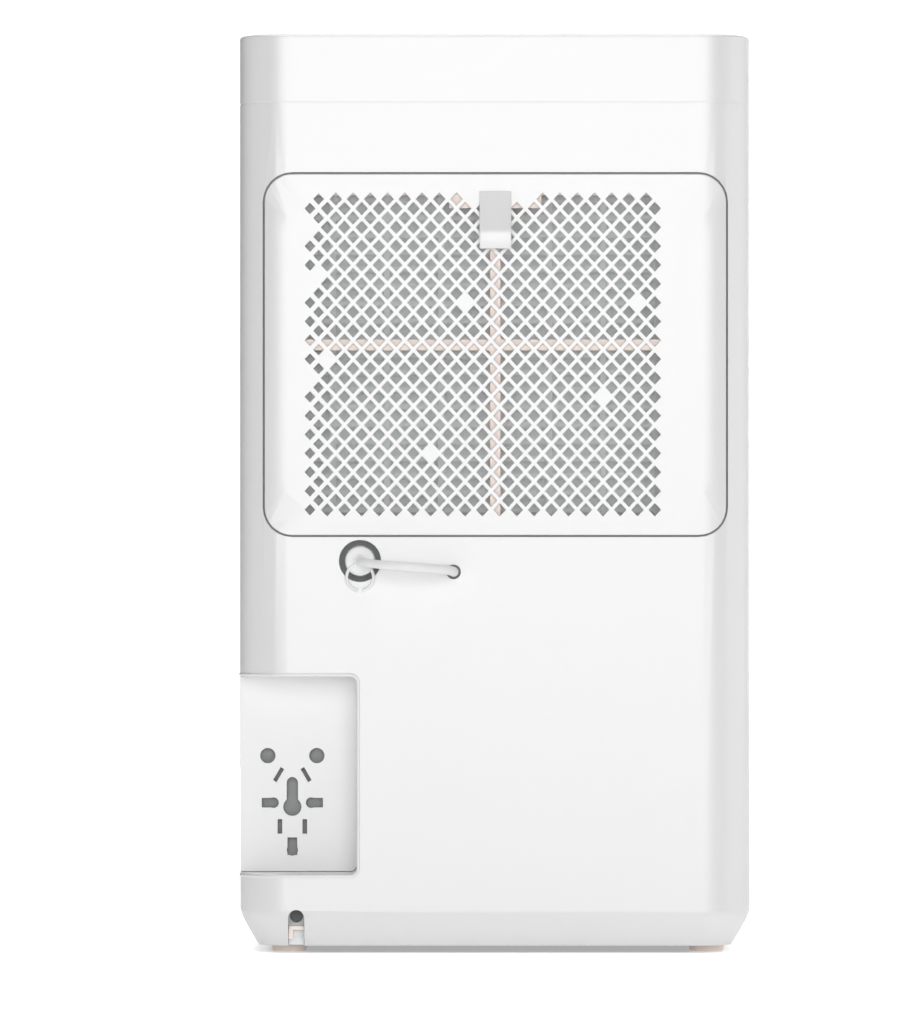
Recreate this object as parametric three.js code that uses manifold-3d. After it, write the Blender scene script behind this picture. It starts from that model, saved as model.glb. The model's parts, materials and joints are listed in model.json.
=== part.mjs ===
// Compact compressor dehumidifier: casing, filter panel, refrigeration circuit, fan and water tank.
// Millimetres, +Z up. The origin is on the floor under the middle of the body.
// The user faces the front, which is towards -Y. The air intake and the drain port are at the rear, +Y.
import * as THREE from 'three';
import { mergeVertices } from 'three/addons/utils/BufferGeometryUtils.js';
import Module from 'manifold-3d';

const wasm = await Module();
wasm.setup();

// Casing
const HALF_WIDTH = 130;
const REAR_Y = 120;
const REAR_RADIUS = 25;
const FRONT_RADIUS = 35;
const BOW_DEPTH = 127; // the front face bows out to this far from the middle
const BOW_RADIUS = 800;
const WALL = 2.5;
const SKIRT_BOTTOM = 3.75;
const SKIRT_TOP = 22;
const LID_SEAM = 431.5;
const TOP = 466.3;
const SEAM_GAP = 0.6;
const SIDE_SEAM_Y = -30;
const SKIRT_PROFILE = [[3.75, 9.6], [7.6, 7.1], [12.2, 4.3], [18.2, 1.1], [22, 0]]; // height, inset

// Filter bay in the rear wall
const PANEL = { halfWidth: 117, bottom: 212.3, top: 395.3, radius: 14 };
const PANEL_THICKNESS = 2.2;
const PANEL_GAP = 1;
const TUB_FLOOR_Y = 109.5;
const LATTICE = { left: -83.8, right: 97, bottom: 221.9, top: 385.9, columns: 8, rows: 15, hole: 7.4 };
const TAB = { halfWidth: 8, bottom: 357.3, bend: 366, root: 382, top: 386.7, reach: 7, thickness: 2 };
const HOOKS = [[95.4, 104.4], [-6.3, 6.1], [-102.2, -89.8]]; // span of each hook along X

// Drain port and tether
const DRAIN = { x: 68.6, z: 199.2, well: 10.7, head: 7.6, spigot: 6 };
const ANCHOR = { x: 21.2, z: 193.7, radius: 3.7 };
const TETHER_RADIUS = 2.4;
const TETHER_BOW = 16;

// Plug parking pocket
const POCKET = { side: 70.5, bottom: 40.6, top: 140.5, floorY: 95, radius: 2.8 };
const POCKET_LIP = 2.2;
const SOCKET_X = 103.4;

// Cord outlet in the skirt
const CORD_SLOT = { x: 101, width: 8.2, archZ: 18.2 };

// Water tank and its bay
const TANK = { halfWidth: 93, front: -117.9, back: -14, bottom: 24, top: 138, wall: 2 };
const BAY = { halfWidth: 95.5, back: -11, bottom: 22, top: 190, front: -117, wall: 2 };
const DOOR = { halfWidth: 96, bottom: 24.2, top: 188.2, thickness: 3 };
const BAIL = { pivotY: -60, pivotZ: 145.5, reach: 40 };
const FLOAT = { x: -60, pivotY: -60, pivotZ: 126 };
const DRIP = { x: 40, y: -30 };

// Fan
const FAN_Z = 300;
const IMPELLER_RADIUS = 62;
const SCROLL_RADIUS = 78;

// Heat exchangers
const COIL = { halfWidth: 96, bottom: 205.4, top: 392 };

// Top cover
const FASCIA = { halfWidth: 62, front: -113, back: -85 };
const HANDLE_TUB = { halfWidth: 75, front: -76, back: -20, floor: 448 };
const HANDLE = { pivotY: -28, pivotZ: 458, reach: 40 };
const OUTLET = { halfWidth: 92, front: -6, back: 62 };

// ---- shape helpers ----

function solid(geometry) {
  const bare = geometry.clone();
  bare.deleteAttribute('normal');
  bare.deleteAttribute('uv');
  const merged = mergeVertices(bare, 1e-4);
  const indices = merged.index.array;
  const kept = [];
  for (let i = 0; i < indices.length; i += 3) {
    const [a, b, c] = [indices[i], indices[i + 1], indices[i + 2]];
    if (a !== b && b !== c && c !== a) kept.push(a, b, c);
  }
  const vertProperties = Float32Array.from(merged.attributes.position.array);
  const triVerts = Uint32Array.from(kept);
  return new wasm.Manifold(new wasm.Mesh({ numProp: 3, vertProperties, triVerts }));
}

function toGeometry(manifold) {
  const mesh = manifold.getMesh();
  const geometry = new THREE.BufferGeometry();
  geometry.setAttribute('position', new THREE.BufferAttribute(Float32Array.from(mesh.vertProperties), 3));
  geometry.setIndex(new THREE.BufferAttribute(Uint32Array.from(mesh.triVerts), 1));
  const flat = geometry.toNonIndexed();
  flat.computeVertexNormals();
  return flat;
}

function union(first, ...others) {
  return others.reduce((joined, next) => joined.add(next), first);
}

function cut(base, ...tools) {
  return tools.reduce((left, tool) => left.subtract(tool), base);
}

// A box given by its lowest and highest corners.
function box([x0, x1], [y0, y1], [z0, z1]) {
  const geometry = new THREE.BoxGeometry(x1 - x0, y1 - y0, z1 - z0);
  geometry.translate((x0 + x1) / 2, (y0 + y1) / 2, (z0 + z1) / 2);
  return solid(geometry);
}

// A cylinder along one axis, from one coordinate to another on that axis.
function rod(axis, radius, from, to, [u, v], sides = 24, endRadius = radius) {
  const geometry = new THREE.CylinderGeometry(endRadius, radius, to - from, sides);
  geometry.translate(0, (from + to) / 2, 0);
  if (axis === 'x') geometry.rotateZ(-Math.PI / 2).translate(0, u, v);
  if (axis === 'y') geometry.translate(u, 0, v);
  if (axis === 'z') geometry.rotateX(Math.PI / 2).translate(u, v, 0);
  return solid(geometry);
}

function roundedRect(x0, x1, y0, y1, radius) {
  const shape = new THREE.Shape();
  shape.absarc(x1 - radius, y1 - radius, radius, 0, Math.PI / 2, false);
  shape.absarc(x0 + radius, y1 - radius, radius, Math.PI / 2, Math.PI, false);
  shape.absarc(x0 + radius, y0 + radius, radius, Math.PI, 1.5 * Math.PI, false);
  shape.absarc(x1 - radius, y0 + radius, radius, 1.5 * Math.PI, 2 * Math.PI, false);
  return shape;
}

// A shape drawn in X and Z, extruded along Y from y0 to y1.
function plateY(shape, y0, y1, curveSegments = 3) {
  const geometry = new THREE.ExtrudeGeometry(shape, { depth: y1 - y0, bevelEnabled: false, curveSegments });
  geometry.rotateX(Math.PI / 2).translate(0, y1, 0);
  return solid(geometry);
}

// A shape drawn in X and Y, extruded along Z from z0 to z1.
function plateZ(shape, z0, z1, curveSegments = 2) {
  const geometry = new THREE.ExtrudeGeometry(shape, { depth: z1 - z0, bevelEnabled: false, curveSegments });
  geometry.translate(0, 0, z0);
  return solid(geometry);
}

// A closed stack of outlines with equal point counts: walls between neighbours, a flat fan at each end.
function loft(rings) {
  const count = rings[0].points.length;
  const positions = [];
  for (const ring of rings) {
    for (const point of ring.points) positions.push(point.x, point.y, ring.height);
  }
  const bottom = positions.length / 3;
  positions.push(0, 0, rings[0].height);
  const top = bottom + 1;
  positions.push(0, 0, rings.at(-1).height);
  const faces = [];
  const lastRing = (rings.length - 1) * count;
  for (let i = 0; i < count; i += 1) {
    const j = (i + 1) % count;
    faces.push(bottom, j, i, top, lastRing + i, lastRing + j);
    for (let r = 0; r < rings.length - 1; r += 1) {
      const [a, b, c, d] = [r * count + i, r * count + j, (r + 1) * count + j, (r + 1) * count + i];
      faces.push(a, b, c, a, c, d);
    }
  }
  const geometry = new THREE.BufferGeometry();
  geometry.setAttribute('position', new THREE.Float32BufferAttribute(positions, 3));
  geometry.setIndex(faces);
  return solid(geometry);
}

function addArc(points, x, y, radius, fromDegrees, toDegrees, steps) {
  const curve = new THREE.EllipseCurve(
    x, y, radius, radius, THREE.MathUtils.degToRad(fromDegrees), THREE.MathUtils.degToRad(toDegrees), false,
  );
  points.push(...curve.getPoints(steps));
}

// The casing's plan outline, moved inwards by an inset: two rear corners, two front ones, a bowed front.
function planOutline(inset) {
  const bowCentre = BOW_RADIUS - BOW_DEPTH;
  const frontX = HALF_WIDTH - FRONT_RADIUS;
  const frontY = bowCentre - Math.sqrt((BOW_RADIUS - FRONT_RADIUS) ** 2 - frontX ** 2);
  const bowAngle = THREE.MathUtils.radToDeg(Math.asin(frontX / (BOW_RADIUS - FRONT_RADIUS)));
  const rearX = HALF_WIDTH - REAR_RADIUS;
  const rearY = REAR_Y - REAR_RADIUS;
  const points = [];
  addArc(points, rearX, rearY, REAR_RADIUS - inset, 0, 90, 6);
  addArc(points, -rearX, rearY, REAR_RADIUS - inset, 90, 180, 6);
  addArc(points, -frontX, frontY, FRONT_RADIUS - inset, 180, 270 - bowAngle, 6);
  addArc(points, 0, bowCentre, BOW_RADIUS - inset, 270 - bowAngle, 270 + bowAngle, 8);
  addArc(points, frontX, frontY, FRONT_RADIUS - inset, 270 + bowAngle, 360, 6);
  return points.filter((point, i) => point.distanceTo(points[(i + 1) % points.length]) > 1e-6);
}

function casingStack(inset, levels) {
  return loft(levels.map(([height, extra]) => ({ height, points: planOutline(inset + extra) })));
}

// The outer form of the lower casing, closed at the skirt's bottom edge and at the seam under the lid.
function casingForm() {
  return casingStack(0, [...SKIRT_PROFILE, [LID_SEAM - SEAM_GAP / 2, 0]]);
}

// The hollow inside it runs past both ends.
function casingHollow() {
  return casingStack(WALL, [[-5, SKIRT_PROFILE[0][1]], ...SKIRT_PROFILE, [TOP, 0]]);
}

function tube(points, radius, sides, steps) {
  const stops = points.map(([x, y, z]) => new THREE.Vector3(x, y, z));
  const path = new THREE.CatmullRomCurve3(stops, false, 'centripetal');
  const section = new THREE.Shape();
  section.absarc(0, 0, radius, 0, 2 * Math.PI, false);
  const settings = { steps, extrudePath: path, curveSegments: sides / 2, bevelEnabled: false };
  return solid(new THREE.ExtrudeGeometry(section, settings));
}

const dehumidifier = new THREE.Group();

function addPart(name, manifold, { color, roughness = 0.5, metalness = 0 }) {
  const material = new THREE.MeshStandardMaterial({ color, roughness, metalness });
  const mesh = new THREE.Mesh(toGeometry(manifold), material);
  mesh.name = name;
  dehumidifier.add(mesh);
}

const WHITE = { color: 0xf2f2f2, roughness: 0.45 };
const INNER_WHITE = { color: 0xdcdedd, roughness: 0.6 };
const WARM_WHITE = { color: 0xf3e6e0, roughness: 0.55 };
const GREY_PLASTIC = { color: 0x8d9191, roughness: 0.6 };
const DARK_PLASTIC = { color: 0x2c2e30, roughness: 0.55 };
const RUBBER = { color: 0xb4b0ad, roughness: 0.9 };
const BLACK_RUBBER = { color: 0x1c1c1c, roughness: 0.9 };
const SMOKED = { color: 0x9fb3bd, roughness: 0.15 };
const FIN_METAL = { color: 0xc9ccce, roughness: 0.35, metalness: 0.9 };
const COPPER = { color: 0xb8734a, roughness: 0.3, metalness: 1 };
const BLACK_STEEL = { color: 0x1e1f21, roughness: 0.45, metalness: 0.4 };
const STEEL = { color: 0x9a9da0, roughness: 0.4, metalness: 0.9 };
const BOARD = { color: 0x2f6b45, roughness: 0.6 };

// ---- casing ----

function panelShape(grow) {
  const side = PANEL.halfWidth + grow;
  return roundedRect(-side, side, PANEL.bottom - grow, PANEL.top + grow, PANEL.radius + grow);
}

// A rectangle in X and Z that flares out over the last few millimetres before the rear face.
function pocketCutter(back) {
  const rings = [];
  const fillet = (step) => POCKET_LIP * (1 - Math.cos((step / 4) * (Math.PI / 2)));
  const levels = [[back, 0], [REAR_Y - POCKET_LIP, 0]];
  for (let step = 1; step <= 4; step += 1) {
    levels.push([REAR_Y - POCKET_LIP + POCKET_LIP * Math.sin((step / 4) * (Math.PI / 2)), fillet(step)]);
  }
  levels.push([REAR_Y + 5, POCKET_LIP]);
  for (const [height, grow] of levels) {
    const shape = roundedRect(
      POCKET.side - grow, 2 * HALF_WIDTH, POCKET.bottom - grow, POCKET.top + grow, POCKET.radius + grow,
    );
    const points = shape.getPoints(2);
    const middle = new THREE.Vector2((POCKET.side + 2 * HALF_WIDTH) / 2, (POCKET.bottom + POCKET.top) / 2);
    const seen = points.filter((point, i) => point.distanceTo(points[(i + 1) % points.length]) > 1e-6);
    rings.push({ height, points: seen.map((point) => point.sub(middle)) });
  }
  const cutter = loft(rings);
  // Turn the stacking axis from Z to Y; the outline's second axis becomes -Z, so it is mirrored back.
  return cutter.rotate([-90, 0, 0]).mirror([0, 0, 1])
    .translate([(POCKET.side + 2 * HALF_WIDTH) / 2, 0, (POCKET.bottom + POCKET.top) / 2]);
}

function rearHousing() {
  const form = casingForm();
  let wall = form.subtract(casingHollow());
  const tub = plateY(panelShape(PANEL_GAP + WALL), TUB_FLOOR_Y - 2, 130).intersect(form);
  const pocketBlock = box(
    [POCKET.side - WALL, 140], [POCKET.floorY - 2.6, 130], [POCKET.bottom - WALL, POCKET.top + WALL],
  ).intersect(form);
  const well = rod('y', DRAIN.well + 2, 108, 119, [DRAIN.x, DRAIN.z], 32);
  wall = union(wall, tub, pocketBlock, well);
  const slot = CORD_SLOT.width / 2;
  const window = roundedRect(-96, 96, 222, 386, 4);
  wall = cut(
    wall,
    plateY(panelShape(PANEL_GAP), TUB_FLOOR_Y, 140),
    plateY(window, 100, 115),
    pocketCutter(POCKET.floorY - 2.9),
    rod('y', DRAIN.well, 110, 130, [DRAIN.x, DRAIN.z], 32),
    rod('y', DRAIN.spigot + 0.4, 100, 115, [DRAIN.x, DRAIN.z], 24),
    rod('y', ANCHOR.radius, 110, 130, [ANCHOR.x, ANCHOR.z], 24),
    box([CORD_SLOT.x - slot, CORD_SLOT.x + slot], [100, 130], [-1, CORD_SLOT.archZ]),
    rod('y', slot, 100, 130, [CORD_SLOT.x, CORD_SLOT.archZ], 24),
    ...HOOKS.map(([x0, x1]) => box([x0 - 0.5, x1 + 0.5], [113, 117.2], [209.6, 212])),
  );
  return wall.intersect(box([-200, 200], [SIDE_SEAM_Y + SEAM_GAP / 2, 200], [0, 500]));
}

function frontHousing() {
  const opening = roundedRect(
    -DOOR.halfWidth - PANEL_GAP, DOOR.halfWidth + PANEL_GAP, DOOR.bottom - PANEL_GAP, DOOR.top + PANEL_GAP, 5,
  );
  return cut(casingForm(), casingHollow(), plateY(opening, -140, -105))
    .intersect(box([-200, 200], [-200, SIDE_SEAM_Y - SEAM_GAP / 2], [0, 500]));
}

function topCover() {
  const bottom = LID_SEAM + SEAM_GAP / 2;
  const form = casingStack(0, [[bottom, 0], [TOP - 1.5, 0], [TOP - 0.44, 0.44], [TOP, 1.5]]);
  const hollow = casingStack(WALL, [[bottom - 1, 0], [TOP - WALL, 0]]);
  const { halfWidth, front, back, floor } = HANDLE_TUB;
  const tub = box([-halfWidth - 2, halfWidth + 2], [front - 2, back + 2], [floor - 2, TOP - 1]);
  const tubHollow = plateZ(roundedRect(-halfWidth, halfWidth, front, back, 5), floor, TOP + 5);
  const fascia = roundedRect(-FASCIA.halfWidth, FASCIA.halfWidth, FASCIA.front, FASCIA.back, 4);
  const outlet = roundedRect(-OUTLET.halfWidth, OUTLET.halfWidth, OUTLET.front, OUTLET.back, 4);
  return cut(
    cut(form, hollow).add(tub),
    tubHollow,
    rod('x', 3.3, -halfWidth - 1, halfWidth + 1, [HANDLE.pivotY, HANDLE.pivotZ], 16),
    plateZ(fascia, TOP - 5, TOP + 5),
    plateZ(outlet, TOP - 5, TOP + 5),
  );
}

function basePan() {
  const plate = casingStack(13, [[4.5, 0], [7, 0]]);
  const ribs = [-1, 1].map((side) => box([side * 72 - 2, side * 72 + 2], [-100, -20], [6, 19.6]));
  return union(plate, ...ribs);
}

// ---- rear details ----

function diamond(x, z) {
  const shape = new THREE.Shape();
  shape.moveTo(x + LATTICE.hole, z);
  shape.lineTo(x, z + LATTICE.hole);
  shape.lineTo(x - LATTICE.hole, z);
  shape.lineTo(x, z - LATTICE.hole);
  return plateY(shape, 105, 125);
}

// The cover takes the casing's own curved surface, so it is cut from two casing shells.
function filterCover() {
  const outer = casingStack(0, [[205, 0], [400, 0]]);
  const inner = casingStack(PANEL_THICKNESS, [[204, 0], [401, 0]]);
  let cover = cut(outer, inner).intersect(plateY(panelShape(0), 100, 125));
  const { left, right, bottom, top, columns, rows, hole } = LATTICE;
  const stepX = (right - left - 2 * hole) / (columns - 0.5);
  const stepZ = (top - bottom - 2 * hole) / (rows - 1);
  for (let row = 0; row < rows; row += 1) {
    const z = bottom + hole + row * stepZ;
    const shift = row % 2 ? 0 : 0.5;
    for (let column = 0; column < columns; column += 1) {
      const x = left + hole + (column + shift) * stepX;
      const clearOfTab = Math.abs(x) > TAB.halfWidth + hole + 1 || z < TAB.bottom - hole - 1;
      if (clearOfTab) cover = cover.subtract(diamond(x, z));
    }
  }
  const hooks = HOOKS.map(([x0, x1]) => box([x0, x1], [113.6, 118.5], [210, 213.5])
    .subtract(box([x0 - 1, x1 + 1], [116.4, 120], [209, 212.3])));
  const tabProfile = new THREE.Shape();
  const tabFace = REAR_Y + TAB.reach;
  tabProfile.moveTo(REAR_Y - 1, TAB.top);
  tabProfile.lineTo(REAR_Y + 0.4, TAB.top);
  tabProfile.lineTo(tabFace, TAB.bend);
  tabProfile.lineTo(tabFace, TAB.bottom);
  tabProfile.lineTo(tabFace - TAB.thickness, TAB.bottom);
  tabProfile.lineTo(tabFace - TAB.thickness, TAB.bend - 0.6);
  tabProfile.lineTo(REAR_Y - 1, TAB.root);
  const tab = new THREE.ExtrudeGeometry(tabProfile, { depth: 2 * TAB.halfWidth, bevelEnabled: false });
  tab.rotateY(Math.PI / 2).rotateX(Math.PI / 2).translate(-TAB.halfWidth, 0, 0);
  return union(cover, ...hooks, solid(tab));
}

function filterFrame() {
  let frame = plateY(roundedRect(-108, 108, 216, 391, 6), 115, 117.2, 3);
  for (const [x0, x1] of [[-102, -2.4], [2.4, 102]]) {
    for (const [z0, z1] of [[222, 306.2], [311.3, 385]]) {
      frame = frame.subtract(box([x0, x1], [110, 120], [z0, z1]));
    }
  }
  return frame.add(box([-23, 23], [115, 117.2], [378, 388]));
}

function intakeGrid() {
  let grid = box([-104, 104], [104.7, 107.2], [216, 392]);
  const ribPitch = 27.5;
  const louvrePitch = 17.5;
  for (let column = -3; column < 3; column += 1) {
    for (let row = 0; row < 9; row += 1) {
      const x0 = Math.max(column * ribPitch + 1.65, -92);
      const x1 = Math.min((column + 1) * ribPitch - 1.65, 92);
      const z0 = 225 + row * louvrePitch;
      grid = grid.subtract(box([x0, x1], [100, 110], [z0, z0 + louvrePitch - 3]));
    }
  }
  return grid;
}

function drainSpigot() {
  const outer = rod('y', DRAIN.spigot, 106.3, 113, [DRAIN.x, DRAIN.z], 24);
  return cut(outer, rod('y', 4.5, 100, 120, [DRAIN.x, DRAIN.z], 24));
}

function drainPlug() {
  const { x, z, head } = DRAIN;
  const cap = cut(rod('y', head, 110.5, 121.2, [x, z], 28), rod('y', 6.3, 100, 113.6, [x, z], 24));
  const loopZ = z - 8.2;
  const ring = cut(rod('y', head, 120.3, 122.2, [x, loopZ], 28), rod('y', 6, 120, 123, [x, loopZ], 28));
  const split = box([x - 0.65, x + 0.65], [119, 124], [loopZ - 9, loopZ - 4]);
  const clearHead = rod('y', head - 1, 121.2, 125, [x, z], 28);
  return cap.add(cut(ring, split, clearHead));
}

// The strap leaves the plug's face, bows out behind the casing and goes into the anchor hole.
function plugTether() {
  const startY = 122.8;
  const midX = (DRAIN.x + ANCHOR.x) / 2;
  const halfSpan = (DRAIN.x - ANCHOR.x) / 2;
  const points = [[DRAIN.x, 121.5, DRAIN.z]];
  const steps = 10;
  for (let i = 0; i <= steps; i += 1) {
    const angle = (i / steps) * Math.PI;
    const z = THREE.MathUtils.lerp(DRAIN.z, ANCHOR.z, i / steps);
    points.push([midX + halfSpan * Math.cos(angle), startY + TETHER_BOW * Math.sin(angle), z]);
  }
  points.push([ANCHOR.x, 116, ANCHOR.z]);
  return tube(points, TETHER_RADIUS, 8, 24);
}

// One parking plate takes the pins of several plug types, so its holes cross-cut a plain plate.
function plugHolder() {
  const x = SOCKET_X;
  const [y0, y1] = [POCKET.floorY - 2.6, POCKET.floorY];
  const outline = roundedRect(
    POCKET.side + 0.3, HALF_WIDTH + 10, POCKET.bottom + 0.3, POCKET.top - 0.3, POCKET.radius,
  );
  let plate = plateY(outline, y0, y1).intersect(box([0, HALF_WIDTH - 0.3], [0, 200], [0, 200]));
  const round = (dx, z, radius) => rod('y', radius, y0 - 5, y1 + 5, [x + dx, z], 16);
  const slot = (dx, z, width, height) => box(
    [x + dx - width / 2, x + dx + width / 2], [y0 - 5, y1 + 5], [z - height / 2, z + height / 2],
  );
  for (const side of [-1, 1]) {
    const oblique = box([-1.05, 1.05], [y0 - 5, y1 + 5], [-3.85, 3.85])
      .rotate([0, side * -30, 0]).translate([x + side * 7, 0, 90.1]);
    plate = cut(
      plate,
      round(side * 12.5, 99.8, 3.96),
      round(side * 9.6, 75.8, 2.75),
      slot(side * 12.5, 75.8, 6.2, 4.9),
      slot(side * 6.35, 63.7, 2.4, 7.4),
      oblique,
    );
  }
  return cut(
    plate,
    round(0, 73.7, 4.7),
    slot(0, 80, 5.8, 12),
    round(0, 86, 2.9),
    slot(0, 53.6, 5, 9),
    round(0, 51.6, 2.9),
  );
}

function cordClip() {
  const bar = box([97, 105], [104, 112], [11.8, 13.9]);
  const post = box([102.7, 105], [104, 112], [7.3, 12]);
  return union(bar, post);
}

// ---- refrigeration circuit ----

function coilBlock(y0, y1) {
  const { halfWidth, bottom, top } = COIL;
  const left = box([-halfWidth, -halfWidth + 1], [y0, y1], [bottom, top]);
  const right = box([halfWidth - 1, halfWidth], [y0, y1], [bottom, top]);
  const fins = box([-halfWidth + 0.5, halfWidth - 0.5], [y0 + 1.5, y1 - 1.5], [bottom + 1, top - 1]);
  const bends = [];
  const bendCount = 4;
  const pitch = (top - bottom) / bendCount;
  for (let i = 0; i < bendCount; i += 1) {
    const ring = new THREE.TorusGeometry(7, 3, 6, 12);
    ring.rotateZ(0.1).translate(halfWidth + 0.3, (y0 + y1) / 2, bottom + (i + 0.5) * pitch);
    bends.push(solid(ring));
  }
  return union(fins, left, right, ...bends);
}

const COMPRESSOR = { x: -35, y: 58, radius: 47.5 };

function compressor() {
  const profile = [[0, 28], [30, 28], [42, 33], [47.5, 44], [47.5, 98], [48.5, 99], [48.5, 103], [47.5, 104],
    [47.5, 160], [43, 174], [30, 182], [0, 185]];
  const shell = new THREE.LatheGeometry(profile.map(([r, z]) => new THREE.Vector2(r, z)), 28);
  shell.rotateX(Math.PI / 2);
  const foot = rod('z', 64, 24.4, 28.5, [0, 0], 3);
  return union(solid(shell), foot).translate([COMPRESSOR.x, COMPRESSOR.y, 0]);
}

function grommet(angleDegrees) {
  const angle = THREE.MathUtils.degToRad(angleDegrees);
  const x = COMPRESSOR.x + 52 * Math.cos(angle);
  const y = COMPRESSOR.y + 52 * Math.sin(angle);
  const profile = [[0, 7.3], [8, 7.3], [8, 12], [6, 14], [6, 17], [8, 19], [8, 24.1], [0, 24.1]];
  const body = new THREE.LatheGeometry(profile.map(([r, z]) => new THREE.Vector2(r, z)), 16);
  body.rotateX(Math.PI / 2).translate(x, y, 0);
  return solid(body);
}

function suctionLine() {
  return tube([[-83.5, 62, 150], [-100, 66, 150], [-114, 76, 158], [-115, 88, 190], [-115, 92, 225],
    [-112, 92, 240], [-96.6, 92, 240]], 4, 8, 30);
}

function dischargeLine() {
  return tube([[-79, 38, 130], [-98, 34, 130], [-113, 40, 140], [-115, 52, 200], [-115, 60, 300],
    [-112, 63, 330], [-96.6, 63, 330]], 3.2, 8, 30);
}

function capillaryTube() {
  const route = [[-96.6, 66, 215], [-106, 66, 215], [-108, 78, 222], [-106, 88, 215], [-96.6, 88, 215]];
  return tube(route, 1.5, 6, 20);
}

function dripTray() {
  const outer = box([-104, 104], [46, 106], [203, 213]);
  const inner = box([-102, 102], [48, 104], [205, 220]);
  const sump = box([DRAIN.x - 11, DRAIN.x + 11], [88, 106], [191, 204]);
  const sumpHollow = box([DRAIN.x - 9, DRAIN.x + 9], [90, 104], [193, 210]);
  const toSpigot = rod('y', 4.5, 100, 110, [DRAIN.x, DRAIN.z], 16);
  const toHose = rod('z', 5, 200, 210, [DRIP.x, 53], 16);
  return cut(outer.add(sump), inner, sumpHollow, toSpigot, toHose);
}

function condensateHose() {
  const path = [[DRIP.x, 53, 202.6], [DRIP.x, 52, 199], [DRIP.x, 46, 197.6], [DRIP.x, 10, 197.6],
    [DRIP.x, -18, 197.8], [DRIP.x, -27, 197.2], [DRIP.x, -30, 193.5], [DRIP.x, -30, 187]];
  return tube(path, 4, 8, 30);
}

// ---- fan ----

function scrollForm(grow, y0, y1, top) {
  const wheel = rod('y', SCROLL_RADIUS + grow, y0, y1, [0, FAN_Z], 40);
  return wheel.add(box([-8 - grow, SCROLL_RADIUS + grow], [y0, y1], [FAN_Z, top]));
}

function fanScroll() {
  const form = scrollForm(0, -14, 43, 392);
  return cut(
    form,
    scrollForm(-WALL, -12, 41, 400),
    rod('y', 50, 38, 50, [0, FAN_Z], 32),
    rod('y', 8, -20, -10, [0, FAN_Z], 20),
  );
}

function fanImpeller() {
  const disc = rod('y', IMPELLER_RADIUS, -9, -7, [0, 0], 36);
  const hub = rod('y', 13, -9, 8, [0, 0], 20, 6);
  const shaft = rod('y', 4, -17.6, 0, [0, 0], 12);
  const rim = cut(rod('y', IMPELLER_RADIUS, 34, 37, [0, 0], 36), rod('y', 55, 30, 40, [0, 0], 36));
  const blades = [];
  const bladeCount = 20;
  for (let i = 0; i < bladeCount; i += 1) {
    const pitched = box([-5, 5], [-8, 35.5], [-0.8, 0.8]).rotate([0, 35, 0]);
    const blade = pitched.translate([IMPELLER_RADIUS - 5.4, 0, 0]);
    blades.push(blade.rotate([0, (i / bladeCount) * 360, 0]));
  }
  return union(disc, hub, shaft, rim, ...blades).translate([0, 0, FAN_Z]);
}

function fanMotor() {
  const can = rod('y', 36, -54, -22, [0, FAN_Z], 28);
  const boss = rod('y', 12, -23, -18, [0, FAN_Z], 20);
  return can.add(boss);
}

function motorBracket() {
  const ring = cut(rod('y', 42, -44, -14.3, [0, FAN_Z], 32), rod('y', 36.6, -60, -10, [0, FAN_Z], 32));
  const vents = [0, 90].map((turn) => box([-60, 60], [-36, -20], [-9, 9])
    .rotate([0, turn + 45, 0]).translate([0, 0, FAN_Z]));
  return cut(ring, ...vents);
}

function ductRing(height, x0, x1, y0, y1, grow) {
  const [left, right] = [x0 - grow, x1 + grow];
  const [front, back] = [y0 - grow, y1 + grow];
  const corners = [[right, back], [left, back], [left, front], [right, front]];
  return { height, points: corners.map(([x, y]) => new THREE.Vector2(x, y)) };
}

function airDuct() {
  const form = loft([ductRing(392.4, -8, 78, -14, 43, 0), ductRing(458.6, -90, 90, -6, 62, 0)]);
  const hollow = loft([ductRing(391, -8, 78, -14, 43, -2), ductRing(392.4, -8, 78, -14, 43, -2),
    ductRing(458.6, -90, 90, -6, 62, -2), ductRing(460, -90, 90, -6, 62, -2)]);
  return form.subtract(hollow);
}

// ---- outlet, handle and controls in the top cover ----

function outletGrille() {
  const ring = box([-95, 95], [-9, 65], [459, 463.4]);
  let grille = ring.subtract(box([-88, 88], [-2, 58], [450, 470]));
  for (let i = 1; i <= 5; i += 1) {
    grille = grille.add(box([-89, 89], [-2 + i * 10 - 1, -2 + i * 10 + 1], [459.2, 463.2]));
  }
  return grille;
}

function outletFlap() {
  const { halfWidth, front, back } = OUTLET;
  return plateZ(roundedRect(-halfWidth + 1, halfWidth - 1, front + 1, back - 1, 3.4), TOP - 2.4, TOP - 0.3);
}

function carryHandle() {
  const bar = box([-71, 71], [-HANDLE.reach - 4, -HANDLE.reach + 4], [-4, 4]);
  const arms = [-1, 1].map((side) => {
    const [x0, x1] = side < 0 ? [-71, -64] : [64, 71];
    const arm = box([x0, x1], [-HANDLE.reach, 0], [-4, 4]);
    const eye = rod('x', 4, x0, x1, [0, 0], 16);
    const pin = side < 0 ? rod('x', 3, -75.8, -70, [0, 0], 16) : rod('x', 3, 70, 75.8, [0, 0], 16);
    return union(arm, eye, pin);
  });
  return union(bar, ...arms).translate([0, HANDLE.pivotY, HANDLE.pivotZ]);
}

const BUTTONS = [['power_button', -50], ['mode_button', -34], ['speed_button', 34], ['timer_button', 50]];
const BUTTON_Y = -99;

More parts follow.
